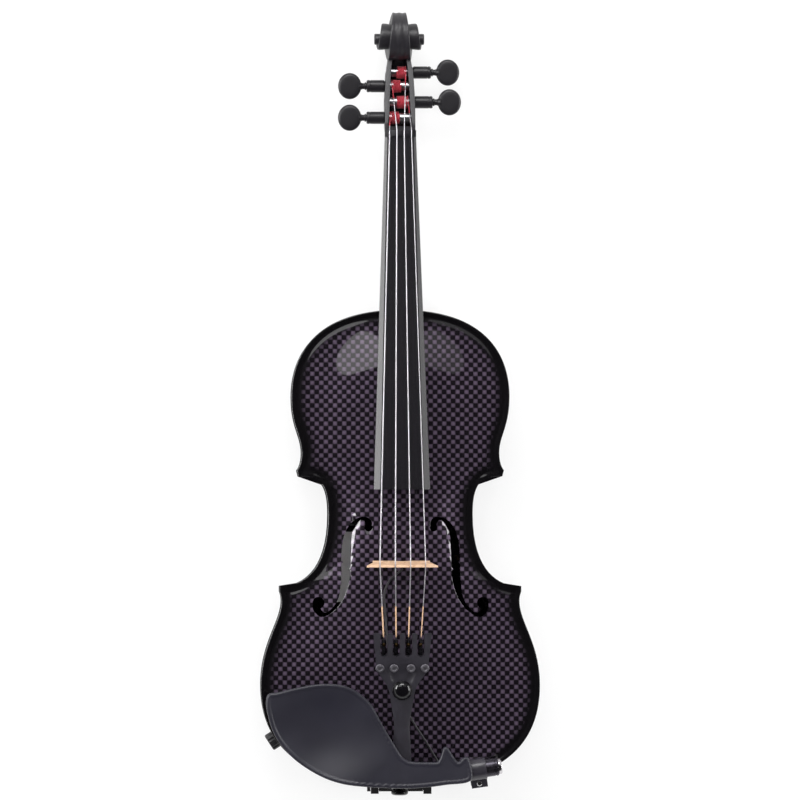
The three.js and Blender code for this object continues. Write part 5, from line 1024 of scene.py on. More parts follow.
# Pegs: geared pegs turned from black glass-filled nylon. A fixed sleeve sits in the wall, an oval head turns
# in it, and an aluminium spool that crosses the pegbox takes the string a quarter as fast.
collar_seat_radius, collar_length = 3.9, 13.6
spool_radius, spool_end_radius = 3.6, 3.1
peg_neck_radius, peg_neck_length = 2.3, 3.9
head_length_out, head_width, head_thickness = 17.6, 19.8, 7.0
head_squareness, head_dish, head_pole = 2.6, 0.22, 0.02


def stand(bm, foot, direction):
    """Stands a form that was drawn upright at the origin on a point, along a direction."""
    turn = Vector(direction).to_track_quat("Z", "Y").to_matrix()
    bmesh.ops.rotate(bm, cent=(0, 0, 0), matrix=turn, verts=bm.verts)
    bmesh.ops.translate(bm, vec=foot, verts=bm.verts)


def turned(profile, foot, direction, segments=48):
    """A form spun from a profile of radius and distance pairs, from a point along a direction."""
    bm = bmesh.new()
    verts = [bm.verts.new((r, 0, d)) for r, d in profile]
    edges = [bm.edges.new(pair) for pair in zip(verts, verts[1:])]
    bmesh.ops.spin(bm, geom=verts + edges, cent=(0, 0, 0), axis=(0, 0, 1), angle=math.tau, steps=segments,
                   use_merge=True)
    stand(bm, foot, direction)
    return bm


# Glass-filled nylon, moulded and tumbled: dark grey with a dull sheen and a leathery skin of 0.6 mm
tree, shader, spot, nylon = new_material(
    "glass_filled_nylon_moulded", Roughness=0.36, Specular_IOR_Level=0.4)
skin_grain = add_node(tree, "TexNoise", {"Vector": spot, "Scale": 1.6 / MM, "Detail": 2.0})
tone = add_node(tree, "Mix", {0: skin_grain, 6: linear("#141316"), 7: linear("#1f1d21")}, data_type="RGBA")
tree.links.new(tone.outputs[2], shader.inputs["Base Color"])
leather = add_node(tree, "Bump", {"Height": skin_grain, "Distance": 0.03 * MM, "Strength": 0.25})
tree.links.new(leather.outputs[0], shader.inputs["Normal"])

# Aluminium, turned and left bright: pale grey metal with rings 0.1 mm wide round the axle
tree, shader, spot, aluminium = new_material("aluminium_turned", Metallic=1.0, Roughness=0.3)
ring_place = add_node(tree, "Mapping", {"Vector": spot, "Scale": (9 / MM, 0.06 / MM, 0.06 / MM)})
rings_left = add_node(tree, "TexNoise", {"Vector": ring_place, "Scale": 1.0, "Detail": 1.0})
tone = add_node(tree, "Mix", {0: rings_left, 6: linear("#b9b7bc"), 7: linear("#dcdade")}, data_type="RGBA")
tree.links.new(tone.outputs[2], shader.inputs["Base Color"])

for name, (side, y, z, wall, inside_wall, _) in pegs.items():
    out, middle = (side, 0, 0), (0, y, z)
    wall_out, wall_in, collar_end = wall + 0.3, inside_wall - 0.2, wall + collar_length
    bore = peg_neck_radius + 0.2
    bm = turned([
        (0, wall_out + 2), (bore, wall_out + 2), (bore, collar_end), (collar_radius * 0.86, collar_end),
        (collar_radius * 0.95, collar_end - 0.3), (collar_radius, collar_end - 1),
        (collar_radius, collar_end - 2.2), (collar_radius - 0.25, collar_end - 2.4),
        (collar_radius - 0.25, collar_end - 2.8), (collar_radius, collar_end - 3),
        (collar_radius, wall_out + 0.4), (collar_radius - 0.3, wall_out), (collar_seat_radius, wall_out),
        (collar_seat_radius, wall_in), (0, wall_in),
    ], middle, out)
    collar = add_piece(f"peg_{name}_sleeve", bm, nylon)
    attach(collar, "body")
    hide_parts(f"peg_collar_{name}")

    bm = turned([
        (0, -wall + 0.4), (spool_end_radius - 0.3, -wall + 0.4), (spool_end_radius, -wall + 0.7),
        (spool_end_radius, -inside_wall + 0.5), (spool_radius, -inside_wall + 0.5),
        (spool_radius, wall_in - 0.3), (0, wall_in - 0.3),
    ], middle, out)
    spool = add_piece(f"peg_{name}_spool", bm, aluminium)
    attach(spool, f"spool_{name}")
    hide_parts(f"peg_spool_{name}")

    head_start = collar_end + peg_neck_length
    bm = bmesh.new()
    bmesh.ops.create_uvsphere(bm, u_segments=64, v_segments=32, radius=1)
    for vert in bm.verts:
        flat = math.hypot(vert.co.x, vert.co.y)
        rounded_rim = (1 - abs(vert.co.z) ** head_squareness) ** (1 / head_squareness) / max(flat, head_pole)
        dish = 1 - head_dish * max(0, 1 - (flat / 0.75) ** 2)
        up = vert.co.z * head_thickness * 0.45 * dish
        place = (vert.co.x * rounded_rim * head_length_out / 2, vert.co.y * rounded_rim * head_width / 2, up)
        vert.co = Vector(place) if flat > head_pole else Vector((0, 0, up))
    bmesh.ops.translate(bm, vec=(side * (head_start + head_length_out / 2), y, z), verts=bm.verts)
    head = add_piece(f"peg_{name}_head", bm, nylon)
    bm = turned([
        (0, wall_out + 2.3), (peg_neck_radius, wall_out + 2.3), (peg_neck_radius, collar_end + 0.2),
        (peg_neck_radius + 0.7, collar_end + 0.5), (peg_neck_radius + 0.7, collar_end + 1.2),
        (peg_neck_radius, collar_end + 1.6), (peg_neck_radius, head_start - 0.8),
        (peg_neck_radius * 1.15, head_start), (peg_neck_radius * 1.5, head_start + 1.8),
        (0, head_start + 2.6),
    ], middle, out)
    shank = add_piece(f"peg_{name}_shank", bm, nylon)
    for piece in (head, shank):
        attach(piece, f"peg_{name}")
        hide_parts(f"peg_head_{name}")


# Windings: the silk-wrapped end of each string, wound on its spool from the side of the head inwards. The
# first turn is wider, so that the string clears the next turn when the peg is slack.
winding_pitch, silk_pitch = 1.36, 0.92
loop_points = 36

# Silk thread wrapped tightly round the string: deep red, matt, with a slanting rib each 0.35 mm
tree, shader, spot, red_silk = new_material("red_silk_thread_wrapped", Roughness=0.72, Sheen_Weight=0.15)
wrap_place = add_node(tree, "Mapping", {"Vector": spot, "Rotation": (0.4, 0.9, 0.5)})
wrap = add_node(tree, "TexWave", {"Vector": wrap_place, "Scale": 0.9 / MM, "Distortion": 1.2})
tone = add_node(tree, "Mix", {0: wrap, 6: linear("#8a1626"), 7: linear("#c12a3e")}, data_type="RGBA")
tree.links.new(tone.outputs[2], shader.inputs["Base Color"])
ribs_of_silk = add_node(tree, "Bump", {"Height": wrap, "Distance": 0.05 * MM, "Strength": 0.5})
tree.links.new(ribs_of_silk.outputs[0], shader.inputs["Normal"])

for name, (side, y, z, _, _, loops) in pegs.items():
    start_x, start_angle = strings[name]["winding"]
    line = []
    turns = 1 + (loops - 1) * winding_pitch / silk_pitch
    for i in range(round(turns * loop_points) + 1):
        angle = start_angle - math.tau * i / loop_points
        across = winding_pitch * min(i / loop_points, 1) + silk_pitch * max(i / loop_points - 1, 0)
        line.append(Vector((start_x - side * across, y + winding_radius * math.cos(angle),
                            z + winding_radius * math.sin(angle))))
    first = Vector((0, math.sin(start_angle), -math.cos(start_angle))) * 2 * silk_radius
    last = Vector((0, -math.sin(angle), math.cos(angle))) * 2 * silk_radius
    line = [line[0] - first, *line, line[-1] - last]
    winding = add_curve(f"silk_winding_{name}", line, silk_radius, red_silk)
    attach(winding, f"spool_{name}")
    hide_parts(f"winding_{name}")


# Strings: three have a fine flat wrap of steel ribbon over a core, and the top one is a plain wire. Each has
# silk on both ends and a brass ball that its fine tuner holds.
tail_silk_shares, tail_silk_swell = (0.1, 0.5), 1.3
peg_silk_length = 13.0
ball_radius = 1.5

# Flat-wound steel ribbon: bright metal, each turn 0.3 mm wide, drawn 0.6 mm so that it shows
tree, shader, spot, wound_steel = new_material("steel_ribbon_flat_wound", Metallic=1.0, Roughness=0.28)
turn_place = add_node(tree, "Mapping", {"Vector": spot, "Rotation": (0, 0, math.pi / 2)})
turns_of_wire = add_node(tree, "TexWave", {"Vector": turn_place, "Scale": 0.52 / MM})
tone = add_node(tree, "Mix", {0: turns_of_wire, 6: linear("#a5a2a8"), 7: linear("#efecf0")}, data_type="RGBA")
tree.links.new(tone.outputs[2], shader.inputs["Base Color"])

# Undyed silk thread on the tail ends: warm straw with fine ribs, drawn 0.65 mm apart so that they show
tree, shader, spot, straw_silk = new_material("straw_silk_thread_wrapped", Roughness=0.7, Sheen_Weight=0.3)
wrap_place = add_node(tree, "Mapping", {"Vector": spot, "Rotation": (0, 0, math.pi / 2)})
wrap = add_node(tree, "TexWave", {"Vector": wrap_place, "Scale": 0.48 / MM, "Distortion": 0.6})
tone = add_node(tree, "Mix", {0: wrap, 6: linear("#a9794f"), 7: linear("#e9c7a6")}, data_type="RGBA")
tree.links.new(tone.outputs[2], shader.inputs["Base Color"])

# Brass, turned and tarnished: brown metal with a dull polish, tarnished in specks of 1 mm
tree, shader, spot, brass = new_material("brass_turned_tarnished", Metallic=1.0, Roughness=0.45)
tarnish = add_node(tree, "TexNoise", {"Vector": spot, "Scale": 0.9 / MM, "Detail": 2.0})
tone = add_node(tree, "Mix", {0: tarnish, 6: linear("#3b2f1f"), 7: linear("#5c4a30")}, data_type="RGBA")
tree.links.new(tone.outputs[2], shader.inputs["Base Color"])

for name, string in strings.items():
    bends = [Vector(p) for p in string_route(name)]
    pieces = [add_curve(f"string_{name}_wire", bends, string["radius"], wound_steel)]
    tail_silk = [bends[0].lerp(bends[1], share) for share in tail_silk_shares]
    swollen = string["radius"] * tail_silk_swell
    pieces.append(add_curve(f"string_{name}_tail_silk", tail_silk, swollen, straw_silk))
    back = (bends[-2] - bends[-1]).normalized() * min(peg_silk_length, (bends[-2] - bends[-1]).length - 1)
    peg_silk = [bends[-1] + back, bends[-1]]
    pieces.append(add_curve(f"string_{name}_peg_silk", peg_silk, string["radius"] + 0.03, red_silk))
    bm = bmesh.new()
    bmesh.ops.create_uvsphere(bm, u_segments=24, v_segments=16, radius=ball_radius)
    bmesh.ops.translate(bm, vec=bends[0], verts=bm.verts)
    pieces.append(add_piece(f"string_{name}_ball", bm, brass))
    for piece in pieces:
        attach(piece, "body")
        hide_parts(f"string_{name}")


# Bridge: cut from quartered maple, with a heart and two kidneys. It thins towards the strings, and its
# feet are carved to the arch of the top.
bridge_foot = top_seat + top_arch
bridge_height = 32.5
bridge_wings = 53.0
foot_span = 42.5
foot_gap = 0.1
hole_height, heart_height = 0.6, 0.56
kidney_offset, kidney_radius, heart_radius = 12.4, 3.4, 3.2
wing_thinning, even_share = 0.62, 0.2
longest_edge = 4

# Quarter-sawn maple, scraped and oiled: pale, with a level grain 0.7 mm fine and short darker flecks of 3 mm
tree, shader, spot, maple = new_material("maple_quarter_sawn_oiled", Roughness=0.52)
grain_place = add_node(tree, "Mapping", {"Vector": spot, "Scale": (0.38 / MM, 0.38 / MM, 1.5 / MM)})
grain = add_node(tree, "TexNoise", {"Vector": grain_place, "Scale": 1.0, "Detail": 4.0})
fleck_place = add_node(tree, "Mapping", {"Vector": spot, "Scale": (0.3 / MM, 0.9 / MM, 2.2 / MM)})
flecks = add_node(tree, "TexNoise", {"Vector": fleck_place, "Scale": 1.0, "Detail": 1.0})
fleck_mark = add_node(tree, "MapRange", {"Value": flecks, "From Min": 0.58, "From Max": 0.68, "To Max": 0.55})
wood = add_node(tree, "Mix", {0: grain, 6: linear("#c39c7c"), 7: linear("#dab99b")}, data_type="RGBA")
tone = add_node(tree, "Mix", {0: fleck_mark, 6: wood.outputs[2], 7: linear("#a67a57")}, data_type="RGBA")
tree.links.new(tone.outputs[2], shader.inputs["Base Color"])
pores = add_node(tree, "Bump", {"Height": grain, "Distance": 0.04 * MM, "Strength": 0.3})
tree.links.new(pores.outputs[0], shader.inputs["Normal"])


def crown_level(x):
    """The bridge's top edge: a shallow arc from string to string, falling away beyond the outer two."""
    spans = [(s["bridge"][0], s["bridge"][1] - 0.4 * s["radius"]) for s in strings.values()]
    after = next((i for i, (place, _) in enumerate(spans) if place > x), len(spans) - 1)
    (x0, z0), (x1, z1) = spans[max(0, after - 1)], spans[max(1, after)]
    chord = z0 + (z1 - z0) * (x - x0) / (x1 - x0)
    between = max(0, (x - x0) * (x1 - x)) / (2 * board_radius)
    return chord + between - max(0, abs(x) - bridge_spacing / 2) ** 2 / board_radius


half_wing, half_foot = bridge_wings / 2, foot_span / 2
side_bends = [
    (half_wing, 0.62), (half_wing - 0.6, 0.57), (half_wing - 3, 0.52), (half_wing - 9, 0.46), (14.5, 0.36),
    (13.4, 0.27), (15.5, 0.17), (half_foot - 2.4, 0.13), (half_foot, 0.06), (half_foot, -0.07),
]
inner_bends = [(half_foot - 12, -0.07), (half_foot - 13, 0.08), (6, 0.2), (3, 0.26), (0, 0.28)]
half_outline = [*flowing(side_bends, 5), *flowing(inner_bends, 5)]
half_outline = [(p.x, bridge_foot + bridge_height * p.y) for p in half_outline]
crown = [(x, crown_level(x)) for x in (half_wing * (2 * i / 60 - 1) for i in range(61))]
outline = crown + half_outline[1:] + [(-x, z) for x, z in reversed(half_outline[1:-1])]
bm = slab([(x, tail_face, z) for x, z in outline], (0, board_face - tail_face, 0))
bmesh.ops.triangulate(bm, faces=[f for f in bm.faces if len(f.verts) > 4])
long_edges = [e for e in bm.edges if e.calc_length() > longest_edge]
bmesh.ops.subdivide_edges(bm, edges=long_edges, cuts=3, use_grid_fill=True)
for vert in bm.verts:
    risen = vert.co.z - bridge_foot - bridge_height * even_share
    up = min(max(risen / (bridge_height * (1 - even_share)), 0), 1)
    outwards = min(max((abs(vert.co.x) - half_foot) / (half_wing - half_foot), 0), 1)
    thickness = bridge_thickness - (bridge_thickness - crown_thickness) * up
    thickness *= 1 - wing_thinning * outwards
    vert.co.y = tail_face + (vert.co.y - tail_face) * thickness / bridge_thickness
bridge = add_piece("bridge_blank", bm, maple)
tools = notch_tools([(1, 3)])
for x, share, radius in (
    (-kidney_offset, hole_height, kidney_radius), (kidney_offset, hole_height, kidney_radius),
    (0, heart_height, heart_radius),
):
    z = bridge_foot + share * bridge_height
    drill = rod((x, tail_face - 4, z), (x, board_face + 4, z), radius, 36)
    tools.append(add_piece("bridge_hole_tool", drill, maple))
tools.append(add_piece("top_shape_tool", arched_plate(top_seat + foot_gap, top_arch, 1), maple))
cut(bridge, tools, crease=30)
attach(bridge, "body")
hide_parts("bridge")


# Tailpiece: moulded in one from carbon-filled composite, with four slots for the strings' balls, a hole for
# each fine tuner and a scooped waist.
tail_thickness = 6.0
tail_taper = 0.28
tail_tool_reach = 14
tail_up = Vector((0, -tail_slope, 1)).normalized()
slot_width, slot_length = 5.3, 17.0
tuner_hole_radius, dome_recess_radius = 1.5, 7.7
tuner_inset, dome_inset, dome_sunk = 25.0, 42.5, 0.4
tail_round, tail_rim_round = 0.5, 0.45
tuner_y = tail_high - tuner_inset
tail_stations = [
    (0, 21.8, 0, 0.4), (0.09, 20.9, 0, 0.8), (0.18, 19.9, 0.5, 1), (0.25, 19.2, 2.4, 1.1), (0.3, 16, 3, 1.2),
    (0.345, 12.4, 2.6, 1.2), (0.395, 9.9, 1, 1.3), (0.48, 8.2, 0, 1.6), (0.635, 5.8, 0, 1.6),
    (0.8, 6.9, 0, 1.2), (0.95, 7.6, 0, 0.8), (1, 6.4, 0, 0.4),
]


def block(size, centre=(0, 0, 0)):
    """A box of a size about a point."""
    bm = bmesh.new()
    bmesh.ops.create_cube(bm, size=1)
    bmesh.ops.scale(bm, vec=size, verts=bm.verts)
    bmesh.ops.translate(bm, vec=centre, verts=bm.verts)
    return bm


def tail_tool(place, radius):
    """A round cutter square to the tailpiece at a place."""
    reach = tail_up * tail_tool_reach
    drill = rod(Vector(place) - reach, Vector(place) + reach, radius)
    return add_piece("tailpiece_tool", drill, moulded_composite)


# Carbon-filled composite, compression moulded: dark grey satin with a faint swirl of flow marks of 8 mm and
# a speckle of 0.7 mm
tree, shader, spot, moulded_composite = new_material(
    "carbon_filled_composite_moulded", Roughness=0.36, Specular_IOR_Level=0.5)
flow = add_node(tree, "TexNoise", {"Vector": spot, "Scale": 0.13 / MM, "Detail": 3.0, "Distortion": 1.2})
tone = add_node(tree, "Mix", {0: flow, 6: linear("#1e1c21"), 7: linear("#302e35")}, data_type="RGBA")
tree.links.new(tone.outputs[2], shader.inputs["Base Color"])
speckle = add_node(tree, "TexNoise", {"Vector": spot, "Scale": 1.5 / MM, "Detail": 1.0})
skin_bump = add_node(tree, "Bump", {"Height": speckle, "Distance": 0.02 * MM, "Strength": 0.25})
tree.links.new(skin_bump.outputs[0], shader.inputs["Normal"])

rings = []
for share, half, valley, crown in flowing(tail_stations, 6):
    y = tail_high - tail_length * share
    half_thick = tail_thickness / 2 * (1 - tail_taper * share)
    ring = []
    for i in range(33):
        across = 2 * i / 32 - 1
        hollow = valley * (1 - min(1, abs(across) / 0.62) ** 2)
        ring.append((half * across, y, tail_level(y) + half_thick + crown * (1 - across ** 2) - hollow))
    for across in (0.96, 0.86, 0.4, -0.4, -0.86, -0.96):
        drop = half_thick if abs(across) < 0.9 else half_thick * 0.6
        ring.append((half * across, y, tail_level(y) - drop))
    rings.append(ring)
bm = skin(rings)
round_edges(bm, sharp_edges(bm, 50), tail_round, 3, clamped=True)
tailpiece = add_piece("tailpiece_moulding", bm, moulded_composite)
tools = []
for string in strings.values():
    slot_end = tail_high - slot_length + slot_width / 2
    tools.append(tail_tool((string["slot"], slot_end, tail_level(slot_end)), slot_width / 2))
    slot = block((slot_width, slot_length + 2, 30),
                 (string["slot"], slot_end + slot_length / 2 + 1, tail_level(tail_high)))
    tools.append(add_piece("tailpiece_tool", slot, moulded_composite))
    tools.append(tail_tool((string["screw"], tuner_y, tail_level(tuner_y)), tuner_hole_radius))
dome_y = tail_high - dome_inset
dome_foot = Vector((0, dome_y, tail_level(dome_y) + tail_thickness / 2 + dome_sunk))
tools.append(tail_tool(dome_foot + tail_up * tail_tool_reach, dome_recess_radius))
cut(tailpiece, tools)
soften(tailpiece, tail_rim_round, sharper_than=50)
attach(tailpiece, "body")
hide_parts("tailpiece")


# Dome: a plain polished button, turned with its own ring and glued in a recess on the tailpiece's waist. It
# is lacquered black like the body.
dome_radius, dome_seat_radius, dome_height, dome_start = 6.6, 7.4, 5.0, 1.4
quarter_turn = [math.pi / 2 * i / 12 for i in range(12)]
dome_rise = dome_height - dome_start
arc = [(dome_radius * math.cos(a), dome_start + dome_rise * math.sin(a)) for a in quarter_turn]
bm = turned([
    (0, -0.1), (dome_seat_radius - 0.2, -0.1), (dome_seat_radius, 0.1), (dome_seat_radius, 0.8),
    (dome_seat_radius - 0.25, 1.05), (dome_radius + 0.2, 1.05), *arc, (0, dome_height),
], dome_foot + tail_up * 0.3, tail_up, 64)
dome = add_piece("tailpiece_button", bm, black_lacquer)
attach(dome, "body")
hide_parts("tailpiece_dome")


# Fine tuners: a knurled screw in the tailpiece presses the long arm of a bell-crank, and the fork at
# the other end holds the ball of the string.
screw_radius, screw_height, screw_stand, shank_radius = 3.2, 2.6, 1.6, 1.2
lever_width, lever_thickness, lever_drop = 3.4, 2.0, 5.1
arm_gap, pad_relief = 0.3, 0.15
fork_thickness = 1.6
fork_gap, fork_rise, fork_clearance, fork_notch_drop, fork_notch_reach = 0.9, 0.6, 0.57, 1.4, 12
lever_round = 0.3
knurls, knurl_depth = 24, 0.94

# Steel, black-chromed: dark mirror metal with a brown-grey cast, rubbed brighter in spots of 2.5 mm
tree, shader, spot, black_chrome = new_material("steel_black_chromed", Metallic=0.85, Roughness=0.26)
rub = add_node(tree, "TexNoise", {"Vector": spot, "Scale": 0.4 / MM, "Detail": 3.0})
tone = add_node(tree, "Mix", {0: rub, 6: linear("#2b292f"), 7: linear("#4a474f")}, data_type="RGBA")
tree.links.new(tone.outputs[2], shader.inputs["Base Color"])
smear = add_node(tree, "MapRange", {"Value": rub, "To Min": 0.2, "To Max": 0.34})
tree.links.new(smear.outputs[0], shader.inputs["Roughness"])

# Steel, smoke-chromed and rubbed bright by fingers: mid-grey metal with a soft polish, worn in spots of
# 1.4 mm
tree, shader, spot, smoke_chrome = new_material("steel_smoke_chromed", Metallic=1.0, Roughness=0.42)
wear = add_node(tree, "TexNoise", {"Vector": spot, "Scale": 0.7 / MM, "Detail": 2.0})
tone = add_node(tree, "Mix", {0: wear, 6: linear("#77747c"), 7: linear("#a29fa7")}, data_type="RGBA")
tree.links.new(tone.outputs[2], shader.inputs["Base Color"])


def arm_top(y):
    """Height of the upper face of a tuner's lever, which lies under the tailpiece."""
    return tail_level(y) - lever_drop - arm_gap


for name, string in strings.items():
    foot = Vector((string["screw"], tuner_y, tail_level(tuner_y)))
    low = foot - tail_up * lever_drop
    head_low = lever_drop + tail_thickness / 2 + screw_stand
    bm = turned([
        (0, 0), (shank_radius * 0.7, 0), (shank_radius, 0.4), (shank_radius, head_low),
        (screw_radius * 0.8, head_low), (screw_radius, head_low + 0.5),
        (screw_radius, head_low + screw_height - 0.6), (screw_radius * 0.86, head_low + screw_height - 0.15),
        (screw_radius * 0.6, head_low + screw_height), (screw_radius * 0.45, head_low + screw_height - 0.25),
        (0, head_low + screw_height - 0.3),
    ], (0, 0, 0), (0, 0, 1), 2 * knurls)
    for vert in bm.verts:
        flat = math.hypot(vert.co.x, vert.co.y)
        if flat > screw_radius - 0.1 and round(math.atan2(vert.co.y, vert.co.x) / math.pi * knurls) % 2:
            vert.co.x *= knurl_depth
            vert.co.y *= knurl_depth
    stand(bm, low, tail_up)
    screw = add_piece(f"tuner_screw_{name}", bm, smoke_chrome, crease=28)
    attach(screw, f"screw_{name}")
    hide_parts(f"fine_tuner_screw_{name}")

    fork_front = ball_y + ball_radius + fork_gap + fork_thickness
    fork_back = fork_front - fork_thickness
    fork_top = tail_level(ball_y) + ball_radius + fork_rise
    arm_end = tuner_y - lever_thickness
    profile = [
        (fork_front, fork_top), (fork_front, arm_top(fork_front) - lever_thickness),
        (arm_end, arm_top(arm_end) - lever_thickness), (arm_end, arm_top(arm_end)),
        (fork_back - 1, arm_top(fork_back - 1)), (fork_back, arm_top(fork_back) + 1), (fork_back, fork_top),
    ]
    bm = slab([(string["slot"] - lever_width / 2, y, z) for y, z in profile], (lever_width, 0, 0))
    lever = add_piece(f"tuner_lever_{name}", bm, black_chrome)
    notch_size = (2 * (string["radius"] + fork_clearance), fork_notch_reach, fork_notch_reach)
    notch_level = tail_level(ball_y) - fork_notch_drop + fork_notch_reach / 2
    notch = block(notch_size, (string["slot"], fork_front, notch_level))
    cut(lever, [add_piece("fork_tool", notch, black_chrome)])
    soften(lever, lever_round, 2, sharper_than=30, crease=35)
    left = min(string["slot"], string["screw"]) - lever_width / 2
    right = max(string["slot"], string["screw"]) + lever_width / 2
    bm = block((right - left, 2 * lever_thickness, lever_thickness - pad_relief))
    round_edges(bm, bm.edges[:], lever_round, 2)
    tilt = Euler((math.atan(tail_slope), 0, 0)).to_matrix()
    bmesh.ops.rotate(bm, cent=(0, 0, 0), matrix=tilt, verts=bm.verts)
    pad_level = arm_top(tuner_y) - (lever_thickness + pad_relief) / 2
    bmesh.ops.translate(bm, vec=((left + right) / 2, tuner_y, pad_level), verts=bm.verts)
    pad = add_piece(f"tuner_pad_{name}", bm, black_chrome)
    for piece in (lever, pad):
        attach(piece, f"lever_{name}")
        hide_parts(f"fine_tuner_lever_{name}")


# Tail cord: a stiff nylon loop from the tailpiece over the saddle and round the groove of the end button.
# The strings' pull keeps it taut.
cord_radius, cord_spread, groove_radius = 0.95, 7.0, 5.25
body_bottom = body_top - body_length
button_end = body_bottom - 8.6
tail_low = tail_high - tail_length
groove_y = button_end + 5.5
button_level = back_seat + rib_height / 2
top_edge = top_seat + edge_thickness

# Nylon monofilament, drawn: black, smooth and slightly waxy, with a cloud each 2 mm
tree, shader, spot, nylon_line = new_material(
    "nylon_monofilament_drawn", Roughness=0.35, Specular_IOR_Level=0.5)
wax = add_node(tree, "TexNoise", {"Vector": spot, "Scale": 0.5 / MM, "Detail": 2.0})
tone = add_node(tree, "Mix", {0: wax, 6: linear("#141217"), 7: linear("#242127")}, data_type="RGBA")
tree.links.new(tone.outputs[2], shader.inputs["Base Color"])

cord_side = [
    (cord_spread / 2, tail_low + 4.5, tail_level(tail_low + 4.5)),
    (cord_spread / 2, tail_low - 0.6, tail_level(tail_low - 0.6)),
    (cord_spread / 2, saddle_y - 1, saddle_top + cord_radius + 0.6),
    (cord_spread / 2 + 0.4, saddle_y - 4.3, saddle_top + cord_radius + 0.3),
    (cord_spread / 2 + 0.8, body_bottom - cord_radius - 0.7, saddle_top - 3.4),
    (cord_spread / 2 + 1.6, body_bottom - cord_radius - 0.5, top_edge - 2),
]
loop = [(groove_radius * math.cos(a), groove_y, button_level - groove_radius * math.sin(a))
        for a in (math.pi * i / 16 for i in range(17))]
cord_route = flowing([*cord_side, *loop, *[(-x, y, z) for x, y, z in reversed(cord_side)]], 4)
tail_cord = add_curve("tail_cord_loop", cord_route, cord_radius, nylon_line, sides=5)
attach(tail_cord, "body")
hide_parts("tail_cord")


# Saddle: the low arch that the cord bends over, moulded, polished in black and glued into the tail edge of
# the top plate. It keeps the solid's own form, with its edges rounded.
def node_shape(name):
    """A merged copy of a CAD node's mesh, in millimetres."""
    bm = bmesh.new()
    bm.from_mesh(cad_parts[name].data)
    bmesh.ops.remove_doubles(bm, verts=bm.verts, dist=1e-6)
    bmesh.ops.dissolve_limit(bm, angle_limit=math.radians(1), verts=bm.verts, edges=bm.edges)
    bmesh.ops.scale(bm, vec=(1 / MM, 1 / MM, 1 / MM), verts=bm.verts)
    return bm


saddle = add_piece("saddle_arch", node_shape("saddle"), black_lacquer)
soften(saddle, 0.5)
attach(saddle, "body")
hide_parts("saddle")


# End button: turned and polished in black, with a groove for the cord. Its tapered stem is pressed through
# the ribs into the end block.
collar_thickness, stem_length = 2.2, 18.0
rib_foot = body_bottom + edge_overhang
collar_at = rib_foot - 0.3 - button_end - collar_thickness
stem_at = collar_at + collar_thickness
button_face = [(0, 0), (3.2, 0.05), (4.6, 0.2), (6.08, 1), (6.4, 2.4), (5.76, 3.9)]
bm = turned([
    *((p.x, p.y) for p in flowing(button_face, 5)), (4.3, 4.5), (4, 4.9), (4, collar_at),
    (5.3, collar_at + 0.3), (5.5, collar_at + 0.6), (5.5, stem_at), (3.2, stem_at),
    (2.56, stem_at + stem_length), (0, stem_at + stem_length),
], (0, button_end, button_level), (0, 1, 0), 56)
end_button = add_piece("end_button_turning", bm, black_lacquer)
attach(end_button, "body")
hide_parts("end_button")


# Chinrest: machined in one from black composite, a dished cup on the bass side, a bar over the tailpiece and
# two feet for the clamp. Its rim is rolled, with a narrow polished lip inside it.
chin_rim, chin_bar, chin_wall, cup_depth = 77.5, 74.0, 4.6, 8.0
cup_centre, cup_reach = (-57.0, -249.0), (52.0, 43.7)
chin_outline = [
    (-100.9, -219.9), (-98.5, -217.2), (-92.4, -216.4), (-76.4, -212.7), (-61.2, -210.3), (-47.5, -210.7),
    (-37.3, -213.7), (-28.3, -220), (-22, -226.9), (-13, -243.2), (-1.5, -262.2), (3, -266.6), (8.9, -268.3),
    (25.1, -268.6), (27.4, -267), (28.9, -264), (30.4, -259), (31.8, -257.2), (33.4, -257.2), (35, -258.9),
    (41, -267.8), (43.4, -267.6), (45.2, -265.4), (47.4, -264.9), (50.2, -266.4), (51.7, -282.3),
    (32.8, -285.7), (17.5, -287.6), (-1.5, -288.3), (-33.5, -286.5), (-51, -283), (-65.6, -276.5),
    (-79.7, -266.9), (-90.1, -255.9), (-95.7, -246.8), (-99.1, -237.3), (-101.3, -226.9),
]
chin_voxel, chin_smoothings = 0.6, 8
roll_width = 1.5
lip_width, lip_fall, lip_height = 2.4, 1.2, 0.55


def chin_roof(x, y):
    """Height of the chinrest's upper face: the bar, rising to the rim of the cup with the dish sunk in it."""
    dish = math.hypot((x - cup_centre[0]) / cup_reach[0], (y - cup_centre[1]) / cup_reach[1])
    hollow = cup_depth * max(0, 1 - dish ** 2) ** 2
    return chin_rim + (chin_bar - chin_rim) * ease((x - cup_centre[0]) / -cup_centre[0]) - hollow


# Composite rubbed to a soft satin and waxed: blue-grey black with a broad dull glow, hazy over 22 mm, and a
# tooth of 0.45 mm
tree, shader, spot, waxed_composite = new_material(
    "composite_satin_waxed", Roughness=0.34, Specular_IOR_Level=0.5)
haze = add_node(tree, "TexNoise", {"Vector": spot, "Scale": 0.045 / MM, "Detail": 3.0})
tone = add_node(tree, "Mix", {0: haze, 6: linear("#1b1a23"), 7: linear("#25242e")}, data_type="RGBA")
tree.links.new(tone.outputs[2], shader.inputs["Base Color"])
rub = add_node(tree, "MapRange", {"Value": haze, "To Min": 0.34, "To Max": 0.46})
tree.links.new(rub.outputs[0], shader.inputs["Roughness"])
fine = add_node(tree, "TexNoise", {"Vector": spot, "Scale": 2.2 / MM, "Detail": 1.0})
tooth = add_node(tree, "Bump", {"Height": fine, "Distance": 0.015 * MM, "Strength": 0.3})
tree.links.new(tooth.outputs[0], shader.inputs["Normal"])

